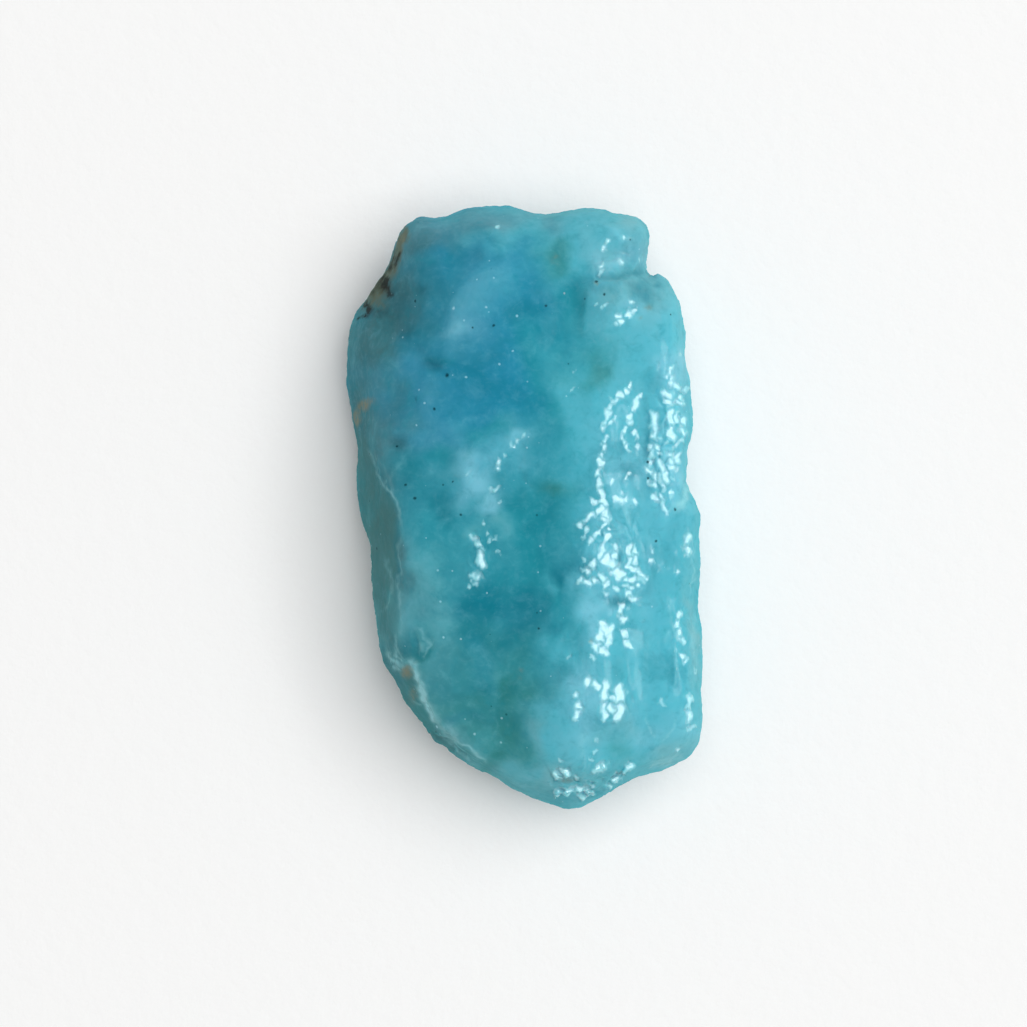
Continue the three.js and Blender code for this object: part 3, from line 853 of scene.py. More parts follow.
# Each tint's pools: the middle, and the reach across and along. Where pools meet they mix.
pools = {
    "deepBlue": [
        (-1.4, 6.8, 2.4, 2.4), (-0.6, 9.9, 1.5, 2.2), (-3.4, 5.4, 1.8, 1.4), (-4.6, 12.6, 1.2, 1.4),
    ],
    "skyBlue": [
        (-3.0, 9.2, 1.1, 1.4), (-2.1, 11.6, 1.4, 0.9), (-5.6, 6.4, 1.8, 1.4), (-4.6, 3.6, 1.6, 1.6),
    ],
    "teal": [
        (0.6, -1.6, 1.2, 3.0), (-4.4, -0.8, 1.2, 1.6), (2.2, 9.8, 0.8, 1.5), (-5.2, 2.0, 1.2, 1.2),
        (1.5, 4.4, 0.9, 1.0), (1.5, -5.0, 0.6, 1.4), (0.6, 7.2, 1.2, 2.0), (-1.4, 3.6, 1.0, 0.6),
    ],
    "deepTeal": [
        (-1.6, -4.8, 1.3, 0.9), (-0.2, -5.6, 1.6, 1.2), (-4.4, 7.0, 0.6, 0.4), (-2.4, -7.4, 1.4, 0.8),
        (-2.8, -8.7, 1.8, 1.1), (-3.2, -11.0, 1.2, 0.9), (0.1, 9.6, 0.7, 1.2), (-4.0, -0.3, 0.6, 0.9),
        (6.0, 10.8, 0.5, 0.3), (2.4, -3.2, 0.4, 1.0),
    ],
    "green": [
        (-3.6, -9.4, 2.0, 2.0), (-0.9, -8.8, 1.3, 1.8), (-1.8, -11.8, 1.6, 1.0), (3.3, 7.0, 1.0, 1.2),
        (1.5, 12.8, 0.8, 0.6), (1.4, 0.9, 0.6, 0.4), (0.4, -10.0, 0.6, 0.7), (4.6, -12.0, 0.8, 1.0),
        (-3.0, -11.6, 1.2, 0.8),
    ],
    # the aqua pools on the right (+X) side are partly painted sheen of the light from that side
    "aqua": [
        (6.2, -6.0, 2.2, 6.0), (5.4, 3.4, 2.2, 3.6), (6.4, 8.4, 1.8, 2.2), (4.8, -11.8, 2.4, 1.6),
        (2.6, 13.8, 2.6, 1.0), (-0.6, 13.8, 1.6, 0.9), (1.8, -11.4, 1.2, 1.6), (1.4, -4.0, 0.4, 0.7),
        (1.35, -6.6, 0.6, 1.0), (2.6, 5.4, 0.8, 2.4), (2.9, 12.2, 0.8, 0.8), (0.0, -13.0, 0.8, 0.5),
    ],
    # the pale pools on the right (+X) side are partly painted sheen of that light as well
    "pale": [
        (-2.9, 1.7, 1.2, 0.7), (-2.0, 0.3, 0.6, 0.6), (-3.5, 8.9, 0.4, 0.4), (4.0, -5.6, 0.45, 1.1),
        (2.7, -10.2, 0.7, 2.0), (5.4, 2.4, 1.3, 2.0), (7.6, 7.0, 0.7, 1.8), (-0.6, 3.3, 0.5, 0.5),
        (4.8, 13.0, 1.1, 0.7), (7.2, 2.0, 0.7, 1.2), (4.2, -2.6, 0.8, 1.2), (5.6, -11.2, 2.0, 1.0),
        (5.7, 9.7, 0.6, 0.5), (5.6, -4.6, 0.7, 0.7), (6.5, -2.6, 0.5, 0.6),
    ],
    "mist": [
        (-1.8, -1.0, 0.8, 0.5), (-4.9, -4.9, 1.1, 1.7), (-5.7, -3.2, 0.5, 1.2), (-2.0, -12.8, 1.4, 0.6),
        (-7.2, -5.6, 0.5, 1.2),
    ],
    "frost": [
        (4.9, 13.4, 1.3, 0.9), (5.6, 10.3, 1.6, 1.2), (1.5, -13.2, 1.8, 0.9), (4.6, -10.9, 1.4, 0.7),
        (0.8, -11.2, 0.7, 0.5), (8.45, -6.4, 0.35, 1.8), (7.3, -12.4, 1.1, 0.6),
    ],
    "dusk": [
        (-1.2, 14.2, 2.2, 0.7), (-4.9, 13.6, 1.6, 0.9), (1.8, 13.9, 1.4, 0.6), (-6.6, 3.4, 1.0, 0.9),
    ],
    # the slate pools along the left side are partly painted shade of that side, which faces away from the
    # light
    "slate": [
        (-6.9, 10.2, 1.6, 1.8), (-7.8, 8.4, 1.0, 1.6), (-7.4, -1.6, 0.9, 3.2), (-6.6, 3.6, 1.0, 1.2),
        (-5.4, 13.2, 1.0, 1.0), (-6.9, -5.4, 0.7, 2.0), (-6.4, -9.4, 0.9, 1.6), (-4.2, -11.9, 1.4, 0.8),
        (-7.8, 4.0, 0.8, 2.0),
    ],
}

tints = {
    "body": (0.0305, 0.336, 0.425, 1),
    "deepBlue": (0.016, 0.263, 0.407, 1),
    "skyBlue": (0.054, 0.308, 0.460, 1),
    "teal": (0.013, 0.285, 0.356, 1),
    "deepTeal": (0.001, 0.187, 0.260, 1),
    "green": (0.035, 0.248, 0.244, 1),
    "aqua": (0.103, 0.508, 0.616, 1),
    "pale": (0.229, 0.600, 0.722, 1),
    "mist": (0.115, 0.425, 0.490, 1),
    "slate": (0.053, 0.170, 0.192, 1),
    "frost": (0.165, 0.450, 0.505, 1),
    "dusk": (0.098, 0.250, 0.305, 1),
    "khaki": (0.122, 0.148, 0.096, 1),
    # painted shade of the steep flanks
    "flankShade": (0.068, 0.205, 0.190, 1),
    "spark": (0.450, 0.800, 0.900, 1),
    "black": (0.012, 0.014, 0.014, 1),
    "ink": (0.001, 0.024, 0.034, 1),
    "rust": (0.225, 0.240, 0.160, 1),
    # painted highlight on the flakes
    "flakeHighlight": (0.420, 0.800, 0.870, 1),
    "vein": (0.290, 0.670, 0.730, 1),
}

# Tan stains, and deeper smudges in the blue, partly dark marks in the stone and partly painted shade in
# folds and beside ridges: the middle, the reach across and along, and the strength.
stains = {
    "rust": [
        (-7.8, 5.3, 0.4, 0.25, 0.5), (-8.1, 5.05, 0.35, 0.3, 0.7), (-8.4, 4.5, 0.25, 0.5, 0.7),
        (-6.1, 13.4, 0.12, 0.6, 0.4), (-5.9, -8.25, 0.35, 0.4, 0.7), (-5.6, -9.4, 0.3, 0.5, 0.4),
        (-0.2, -8.3, 0.25, 0.4, 0.35), (3.3, -6.7, 0.15, 0.2, 0.5), (2.1, -13.7, 0.35, 0.15, 0.5),
        (-3.3, 1.6, 0.3, 0.2, 0.25), (6.2, 10.0, 0.3, 0.15, 0.6), (5.8, 9.5, 0.2, 0.15, 0.4),
        (1.5, 12.4, 0.25, 0.35, 0.4), (3.55, 11.2, 0.15, 0.15, 0.6),
    ],
    # partly painted shade in folds and hollows
    "smudgeAndShade": [
        (-6.3, 3.15, 0.45, 0.4, 0.45), (-6.0, 2.2, 0.9, 1.2, 0.13), (-6.4, 10.0, 1.3, 1.4, 0.22),
        (-4.6, 11.2, 0.7, 0.8, 0.12), (-6.0, 8.8, 0.6, 0.4, 0.3), (-5.2, 10.9, 0.5, 0.3, 0.3),
        (-7.1, 9.65, 0.6, 0.2, 0.45), (-6.9, 10.8, 0.6, 0.3, 0.4), (-4.1, -11.4, 0.6, 0.3, 0.2),
        (-4.6, 7.1, 0.6, 0.3, 0.25), (-2.3, 12.6, 0.3, 0.4, 0.15), (-3.9, -0.3, 0.6, 0.8, 0.12),
        (-7.0, -0.8, 0.4, 1.1, 0.15), (4.7, -4.7, 0.5, 0.2, 0.25), (5.0, 11.25, 0.7, 0.15, 0.25),
        (2.7, 10.2, 0.3, 1.0, 0.1), (4.6, -8.2, 0.25, 0.7, 0.15), (7.4, -7.2, 0.12, 1.8, 0.12),
        (-0.1, 0.6, 0.3, 0.8, 0.1),
    ],
}

# Strips of another colour: the host rock at the far left rim, the black blots on it, and painted shade in
# the deep creases. Each has the reach to either side in mm, the strength and the points of its line.
strips = {
    "host": [
        (0.2, 1.4, (-5.95, 14.3), (-6.12, 13.6), (-6.2, 13.1), (-6.4, 12.2)),
        (0.5, 1.3, (-6.5, 13.3), (-6.8, 12.2), (-7.1, 11.5), (-7.4, 10.9), (-7.8, 10.4), (-8.1, 10.0)),
        (0.3, 0.7, (-7.5, 10.7), (-7.3, 10.2), (-6.9, 9.9)),
    ],
    "soot": [
        (0.25, 1.0, (-6.45, 13.2), (-6.75, 12.4), (-7.05, 11.7), (-7.4, 11.0), (-7.8, 10.5)),
        (0.15, 1.0, (-6.15, 12.7), (-6.45, 12.4), (-6.6, 12.0)),
        (0.25, 1.6, (-6.8, 11.5), (-6.95, 11.05), (-7.4, 10.9)),
        (0.13, 1.2, (-7.0, 10.95), (-6.75, 10.7), (-6.45, 10.75)),
        (0.16, 1.7, (-7.95, 10.4), (-7.87, 10.05), (-7.7, 9.7)),
        (0.1, 1.8, (-7.75, 9.9), (-8.0, 9.55), (-8.35, 9.4)),
        (0.12, 1.0, (-7.85, 9.85), (-7.5, 9.8), (-7.15, 9.75)),
        (0.08, 0.8, (-3.8, -12.05), (-3.45, -11.9)), (0.08, 0.7, (-4.7, -11.4), (-4.3, -11.3)),
    ],
    # painted shade in the creases, under folds and between the blocks
    "creaseShade": [
        (0.2, 0.5, (3.9, 11.6), (4.6, 11.6), (5.3, 11.75), (6.1, 11.8)),
        (0.35, 0.45, (5.2, 11.0), (5.8, 10.75), (6.4, 10.4)),
        (0.22, 0.6, (4.1, -4.65), (4.7, -4.75), (5.3, -4.6)),
        (0.15, 0.4, (4.75, -1.9), (4.8, -2.7), (5.0, -3.4)),
        (0.3, 0.45, (4.8, 2.2), (5.2, 1.8), (5.3, 1.3)),
        (0.12, 0.45, (6.1, 5.4), (6.12, 3.4), (6.1, 0.9)),
        (0.1, 0.4, (7.0, 4.9), (6.95, 4.0), (7.0, 3.3)),
        (0.2, 0.25, (5.6, -1.6), (6.4, -2.4), (6.2, -3.9), (5.4, -5.0)),
        (0.14, 0.3, (-7.6, 3.2), (-7.4, 2.2), (-7.2, 1.3), (-6.6, 0.4)),
        (0.12, 0.35, (-6.4, -0.4), (-6.4, -2.8), (-6.4, -5.0)), (0.35, 0.35, (-5.9, -6.2), (-5.9, -7.4)),
        (0.1, 0.4, (-5.6, -6.0), (-5.35, -6.8), (-5.5, -7.6)),
    ],
}

# Pale veins, in the same way.
veins = {
    "left web": [
        (
            0.1, 0.45, (-7.8, 2.9), (-7.4, 2.2), (-7.4, 1.6), (-7.1, 1.1), (-6.65, 0.7), (-6.4, 0.2),
            (-6.3, -0.5), (-6.2, -1.4),
        ),
        (0.08, 0.15, (-5.95, 2.9), (-6.3, 2.2), (-6.7, 1.6), (-6.6, 1.0), (-6.45, 0.4)),
        (0.06, 0.3, (-7.1, 1.1), (-6.75, 1.3)),
        (0.07, 0.3, (-6.25, -1.2), (-6.25, -2.8), (-6.35, -3.6), (-6.2, -5.0), (-6.3, -6.6)),
        (0.06, 0.25, (-7.0, -2.6), (-6.6, -3.6), (-6.75, -4.6)),
        (0.06, 0.25, (-7.2, -5.4), (-6.7, -4.4), (-6.35, -3.7)),
        (0.06, 0.2, (-7.9, 4.4), (-7.3, 4.5), (-6.9, 3.9)),
    ],
    "bevel": [
        (
            0.17, 1.3, (-6.1, -7.9), (-5.6, -7.9), (-5.3, -8.6), (-5.05, -9.4), (-4.85, -10.0),
            (-4.4, -10.65), (-4.1, -10.9),
        ),
        (0.3, 0.5, (-4.5, -10.8), (-3.9, -11.2), (-3.2, -11.8)),
        (0.08, 0.7, (-3.5, -11.5), (-2.9, -12.0), (-2.0, -12.7)),
        (0.06, 0.35, (-4.3, -11.3), (-3.6, -11.8), (-3.1, -12.4), (-2.6, -12.8)),
        (0.06, 0.3, (-5.8, -9.6), (-4.95, -10.0)),
    ],
    "knot and lump": [
        (0.15, 0.7, (-6.95, -7.1), (-6.7, -7.6), (-6.3, -7.95), (-5.9, -8.05)),
        (0.1, 0.7, (-6.5, -7.0), (-6.4, -7.5), (-6.0, -7.85)), (0.1, 0.6, (-6.75, -8.05), (-6.2, -8.2)),
        (0.07, 0.4, (-6.35, -6.3), (-6.38, -7.0), (-6.15, -7.55), (-5.7, -7.75)),
        (0.07, 0.45, (-5.35, -6.1), (-4.8, -6.7), (-4.75, -7.1), (-5.15, -7.65)),
        (0.25, 0.35, (-5.1, -6.6), (-5.05, -7.3)),
    ],
    "right rim": [
        (0.05, 0.4, (8.25, -2.4), (8.45, -3.4), (8.3, -4.4)),
        (0.05, 0.4, (8.15, -0.9), (8.35, -1.6), (8.4, -2.6)),
        (0.16, 0.9, (8.1, 1.2), (7.95, 0.6), (7.8, 0.1), (7.65, -0.3)),
        (0.15, 0.3, (8.4, -5.4), (8.45, -7.0), (8.3, -8.8)),
        (0.3, 0.6, (6.4, -12.9), (7.2, -12.7), (7.9, -12.4)),
        (0.05, 0.5, (6.2, -13.1), (6.6, -12.7), (6.8, -12.3)),
        (0.04, 0.4, (6.0, -10.6), (6.4, -11.3), (6.5, -11.6)),
        (0.04, 0.35, (6.9, -11.9), (7.3, -11.2), (7.5, -10.4)),
        (0.06, 0.15, (5.9, -1.4), (6.6, -2.4), (6.2, -4.2)),
        (0.05, 0.2, (6.05, -6.4), (6.1, -8.0), (6.0, -9.8)),
        (0.06, 0.3, (7.15, -4.6), (7.3, -5.8), (7.1, -6.6)),
        (0.05, 0.3, (5.7, -5.8), (5.9, -5.6), (6.0, -5.75)),
        (0.14, 0.25, (2.95, -10.6), (2.9, -12.0), (3.05, -13.2)),
    ],
}

# Creases whose steep flank on the right faces away from the light and is painted with slate-grey shade,
# with how strong that painted shade is.
flanks = {
    "left": (
        0.5, (-8.4, 4.4), (-7.9, 3.4), (-7.4, 2.4), (-7.2, 1.4), (-6.6, 0.6), (-6.3, -0.4), (-6.25, -2.8),
        (-6.3, -5.0), (-6.2, -6.9),
    ),
    "near left": (
        0.4, (-6.4, -8.1), (-5.6, -7.9), (-5.3, -8.6), (-4.95, -9.8), (-4.25, -10.75), (-3.0, -11.9),
        (-2.1, -12.6),
    ),
}

# Black grains that can be picked out one by one: place and radius, in mm.
grains = [
    (-3.95, 6.55, 0.13), (-5.55, 0.55, 0.1), (-5.97, 1.14, 0.09), (-7.4, -2.05, 0.1), (7.5, -0.1, 0.1),
    (6.45, -1.65, 0.09), (3.55, 11.25, 0.1), (4.1, 10.65, 0.08), (-1.45, 8.97, 0.08), (-3.6, 1.3, 0.07),
    (1.2, 10.1, 0.08), (7.3, 9.6, 0.07), (0.78, -6.05, 0.08), (-4.6, 4.92, 0.09), (-3.33, -0.4, 0.08),
    (8.2, -3.8, 0.06), (-5.6, 10.3, 0.08), (-2.7, 8.9, 0.07), (6.1, 2.3, 0.08), (6.1, 1.5, 0.08),
    (-6.4, 3.15, 0.08), (2.1, 10.65, 0.06),
]

# White sparkles in the same way: painted glints, the tiny highlights on small dents.
sparkles = [
    (-3.66, 9.93, 0.09), (-3.07, 6.5, 0.07), (-5.03, 5.26, 0.07), (-5.2, 5.97, 0.06), (-2.4, 11.34, 0.06),
    (-1.6, 11.45, 0.06), (-2.07, 10.0, 0.06), (-0.53, 9.7, 0.07), (-0.8, 7.8, 0.06), (-1.18, 7.03, 0.06),
    (-4.0, -6.5, 0.07), (-4.2, -4.77, 0.07), (-3.2, -6.5, 0.06), (-1.9, -4.4, 0.06), (-2.6, -11.25, 0.07),
    (1.95, 10.75, 0.06), (-5.4, 4.0, 0.06), (-4.4, -11.0, 0.1), (-2.1, -0.8, 0.07), (-1.3, 0.25, 0.07),
]

# How the colours' places are laid out on the skin, in mm where nothing else is said.
layout = {
    "poolWaves": (4.5, 2.6, 1.6, 1.1),
    "wander": 0.45,               # how far the pools' edges wander
    "bodyShare": 0.1,             # of the body's own tint, where no pool is near
    "poolCore": 0.6,              # the larger, the softer the pools
    "lineWaves": (1.3, 0.8, 0.5),
    "lineWander": 0.08,           # how far the strips and veins wander
    "lineReach": 4,               # half widths
    "stray": 0.25,                # of each wave's length, how far the marks stray on the steep sides
    "strayWaves": (3.0, 1.4),
    "flankReach": 2.5,            # from its crease outwards
    "flankSoft": 0.2,             # over which it begins
    "dotLift": 0.06,              # of a dot's middle, off the skin
    "dotBends": (0.25, 0.12),     # the size and the reach of the bends in a dot's outline
    "dotEdge": (1.25, 0.3),       # of its radius, where a dot begins and is full
    "seed": 3,
}


finish = {
    "roughness": 0.6,
    "specular": 0.0,
    "polish": 0.8,                # the water-polished upper side
    "leastPolish": 0.05,
    "plainGloss": 0.2,            # of the polish, where there are no fresh flakes
    "polishRoughness": 0.1,
    "polishIor": 1.5,
    "bumpDepth": 0.006,           # mm
    "scatter": 0.75,              # how much light goes into the stone
    "scatterDepth": 0.9,          # mm
    "scatterColour": (0.35, 1.0, 1.1),
}


def paintPools(body):
    # each tint's share of the colour, all adding up to one
    points = readPoints(body.data)
    plan = wandering(seenPlan(points), layout["poolWaves"], layout["wander"], layout["seed"])
    shares = {"body": np.full(len(points), layout["bodyShare"])}
    for tint, spots in pools.items():
        shares[tint] = np.zeros(len(points))
        for x, y, across, along in spots:
            spread = ((plan[:, 0] - x) / across) ** 2 + ((plan[:, 1] - y) / along) ** 2
            shares[tint] += 1 / (layout["poolCore"] + spread) ** 2
    total = sum(shares.values())
    colour = np.zeros((len(points), 4))
    for tint, share in shares.items():
        colour += (share / total)[:, None] * np.array(tints[tint])
    layer = body.data.attributes.new("tint", "FLOAT_COLOR", "POINT")
    layer.data.foreach_set("color", colour.astype(np.float32).ravel())


def markPlan(body):
    # the plan that the marks follow, which strays on the steep sides so that none runs straight down
    points = readPoints(body.data)
    plan = seenPlan(points)
    steep = ramp(readNormals(body.data)[:, 2], *sides["strayed"])
    chance = np.random.default_rng(layout["seed"])
    for length in layout["strayWaves"]:
        for axis in (0, 1):
            turns = (points[:, 2] + 0.5 * points[:, 1 - axis]) / length
            push = np.sin(2 * np.pi * turns + chance.uniform(0, 6))
            plan[:, axis] += steep * layout["stray"] * length * push
    return plan


def linesMask(body, lines):
    # soft lines on the upper side, thinning out at their ends
    points = readPoints(body.data)
    plan = wandering(markPlan(body), layout["lineWaves"], layout["lineWander"], layout["seed"])
    mask = np.zeros(len(plan))
    for width, strength, *route in lines:
        line = roundedLine(route)
        near = nearLine(plan, line, layout["lineReach"] * width)
        beside, along = besideLine(plan[near], line)
        taper = np.sin(np.pi * np.clip(along, 0.02, 0.98)) ** 0.5
        mask[near] = np.maximum(mask[near], strength * taper * np.exp(-((beside / width) ** 2)))
    return mask * upperShare(points, readNormals(body.data))


def veinMask(body):
    return linesMask(body, [line for group in veins.values() for line in group])


def shadedMask(plan):
    # painted shade: the steep left flanks face away from the light and are painted slate grey from their
    # crease outwards
    mask = np.zeros(len(plan))
    for strength, *route in flanks.values():
        line = roundedLine(route)
        near = nearLine(plan, line, layout["flankReach"])
        beside, along = besideLine(plan[near], line)
        taper = np.sin(np.pi * np.clip(along, 0.01, 0.99)) ** 0.4
        inside = np.clip(beside / layout["flankSoft"], 0, 1) * taper
        mask[near] = np.maximum(mask[near], strength * inside)
    return mask


def paintMarks(body):
    # stains, strips, veins and the water-polished upper side
    points, normals = readPoints(body.data), readNormals(body.data)
    plan = markPlan(body)
    for name, spots in stains.items():
        storeMask(body.data, name, zoneMask(plan, spots) * ramp(points[:, 2], *sides["foot"]))
    storeMask(body.data, "vein", veinMask(body))
    for name, lines in strips.items():
        storeMask(body.data, name, linesMask(body, lines))
    storeMask(body.data, "shaded", shadedMask(plan))
    storeMask(body.data, "polish", ramp(normals[:, 2], *sides["polished"]))


def blend(tree, amount, under, over, mode="MIX"):
    made = addNode(tree, "ShaderNodeMix", data_type="RGBA", blend_type=mode)
    for socket, value in ((0, amount), (6, under), (7, over)):
        if isinstance(value, bpy.types.NodeSocket):
            tree.links.new(value, made.inputs[socket])
        else:
            made.inputs[socket].default_value = value
    return made.outputs[2]


def attribute(tree, name, output="Fac"):
    return addNode(tree, "ShaderNodeAttribute", attribute_name=name).outputs[output]


def speckleMask(tree, place, spacing, radius, share):
    # small round marks scattered through the stone, each of its own size
    cells = cellsAt(tree, place, spacing)
    pick = addNode(tree, "ShaderNodeSeparateColor", {0: cells["Color"]}).outputs
    size = times(tree, radius / spacing, remap(tree, pick[1], 0.0, 1.0, 0.4, 1.4, smooth=False))
    mark = remap(tree, maths(tree, "DIVIDE", cells["Distance"], size), 0.6, 1.1, 1.0, 0.0)
    return times(tree, mark, maths(tree, "LESS_THAN", pick[0], share))


def dotMask(tree, place, dots, body):
    # each dot is a soft ball at its own place on the upper side, slightly out of round
    points, normals = readPoints(body.data), readNormals(body.data)
    plan = seenPlan(points)
    blocked = np.where(normals[:, 2] > 0, 0, np.inf)
    uneven = warped(tree, place, *layout["dotBends"])
    begins, full = layout["dotEdge"]
    mask = 0.0
    for x, y, radius in dots:
        middle = points[(np.hypot(*(plan - (x, y)).T) + blocked).argmin()] + layout["dotLift"]
        away = vectorMaths(tree, "DISTANCE", uneven, tuple(middle))
        mask = maths(tree, "MAXIMUM", mask, remap(tree, away, radius * begins, radius * full))
    return mask


# The noises that cloud the stone: size in mm, detail and roughness. The bends that they follow have a
# size and a reach in mm.
clouds = {
    "cloud": (2.6, 5.0, 0.6),
    "wisp": (1.1, 5.0, 0.65),
    "lace": (0.42, 3.0, 0.6),
    "bends": (2.0, 2.0),
    "laceBends": (0.9, 0.7),
}

# Paler and deeper stone: the noise that places it, where it begins and is full, its strength and tint.
mottling = [
    ("cloud", 0.45, 0.75, 0.22, "aqua"), ("cloud", 0.5, 0.3, 0.3, "deepTeal"),
    ("wisp", 0.52, 0.74, 0.13, "pale"), ("wisp", 0.46, 0.3, 0.25, "teal"),
    ("lace", 0.45, 0.85, 0.14, "pale"), ("lace", 0.5, 0.2, 0.22, "deepTeal"),
]

# White flecks and dark dust all through the stone, the flecks partly painted glints: how far apart and
# how large in mm, and how many of the places have one.
specks = {
    "fleck": (0.6, 0.05, 0.3),
    "dust": (0.75, 0.06, 0.16),
}

# The host rock, the tan smudges over it and the black blots: how ragged each is, where its mask begins
# and is full, its strength and its tint.
rockMarks = {
    "host": (1.6, 0.0, 1.1, 0.85, "khaki"),
    "rust": (2.4, 0.05, 0.95, 0.85, "rust"),
    "soot": (2.4, 0.1, 1.2, 0.9, "black"),
}

# What makes the host rock's marks ragged and patchy: the noises' size in mm, detail and roughness.
raggedness = {
    "edges": (0.4, 4.0, 0.7),
    "patches": (1.5, 3.0, 0.6),
    "patchFrom": (0.42, 0.6),     # of that noise, where a patch begins and is full
}

# The skin's finest relief, which is a bump: the noises in the same way, and how much of each there is.
bumps = {
    "grain": (0.2, 3.0, 0.6),
    "grainShare": 0.5,
    "thread": (0.16, 2.0),
    "threadStretch": (1.0, 0.12, 0.4),
    "threadShare": 1.2,
    "fleckShare": 0.6,            # the flecks stand a little proud
}

# How much of each the colour takes.
strengths = {
    # painted light and shade of the edges and folds
    "paintedEdgeLight": 0.8, "paintedEdgeShade": 0.7,
    "paintedFoldLight": 0.45, "paintedFoldShade": 0.4,
    "foldHeights": (0.006, 0.05),  # mm, where a fold begins and is full
    "flakeHighlight": (0.3, 0.65),
    "vein": (0.55, 1.0),
    "fleck": 0.4, "dust": 0.5,
    "grain": 0.8, "sparkle": 0.55,
}


def mottled(tree, place, bent, colour):
    # clouds and wisps of paler and deeper stone, which also make the flakes and veins uneven
    noises = {
        "cloud": noiseAt(tree, bent, *clouds["cloud"]),
        "wisp": noiseAt(tree, bent, *clouds["wisp"]),
        "lace": noiseAt(tree, warped(tree, place, *clouds["laceBends"]), *clouds["lace"]),
    }
    for name, begins, full, strength, tint in mottling:
        share = times(tree, remap(tree, noises[name], begins, full), strength)
        colour = blend(tree, share, colour, tints[tint])
    return colour, noises["lace"]


def shadedFolds(tree, colour):
    # painted light on the edges and raised folds, and painted shade in the hollows and below scarps
    edgeLightAndShade = attribute(tree, "edgeLightAndShade")
    ridge = attribute(tree, "ridge")
    folded = maths(tree, "MAXIMUM", attribute(tree, "wrinkled"), attribute(tree, "blocky"))
    for strength, tint in ((strengths["paintedEdgeLight"], "pale"), (-strengths["paintedEdgeShade"], "deepTeal")):
        colour = blend(tree, maths(tree, "MULTIPLY", edgeLightAndShade, strength, clamp=True), colour, tints[tint])
    begins, full = strengths["foldHeights"]
    folds = ((1, strengths["paintedFoldLight"], "pale"), (-1, strengths["paintedFoldShade"], "deepTeal"))
    for way, strength, tint in folds:
        stands = remap(tree, ridge, way * begins, way * full)
        colour = blend(tree, times(tree, stands, folded, strength), colour, tints[tint])
    return colour


def rocky(tree, place, colour):
    # the host rock with its tan smudges and black blots, all of them patchy down the sides
    ragged = maths(tree, "SUBTRACT", noiseAt(tree, place, *raggedness["edges"]), 0.5)
    patch = remap(tree, noiseAt(tree, place, *raggedness["patches"]), *raggedness["patchFrom"])
    patchy = remap(tree, attribute(tree, "flank"), 0.5, 1.0, 1.0, patch, smooth=False)
    masks = {}
    for name, (amount, begins, full, strength, tint) in rockMarks.items():
        uneven = maths(tree, "MULTIPLY_ADD", ragged, amount, 1.0)
        masks[name] = remap(tree, times(tree, attribute(tree, name), uneven, patchy), begins, full)
        colour = blend(tree, times(tree, masks[name], strength), colour, tints[tint])
    return colour, masks["host"]


def skinBump(tree, place, bent, fleck):
    # the finest grain, the threads of the fibrous places and the flecks
    fine = noiseAt(tree, place, *bumps["grain"])
    lengthways = vectorMaths(tree, "MULTIPLY", bent, bumps["threadStretch"])
    thread = noiseAt(tree, lengthways, *bumps["thread"])
    threads = times(tree, thread, attribute(tree, "fibrous"), bumps["threadShare"])
    relief = maths(tree, "ADD", times(tree, fine, bumps["grainShare"]), threads)
    relief = maths(tree, "ADD", relief, times(tree, fleck, bumps["fleckShare"]))
    inputs = {"Strength": 1.0, "Distance": finish["bumpDepth"] * mm, "Height": relief}
    return addNode(tree, "ShaderNodeBump", inputs).outputs[0]


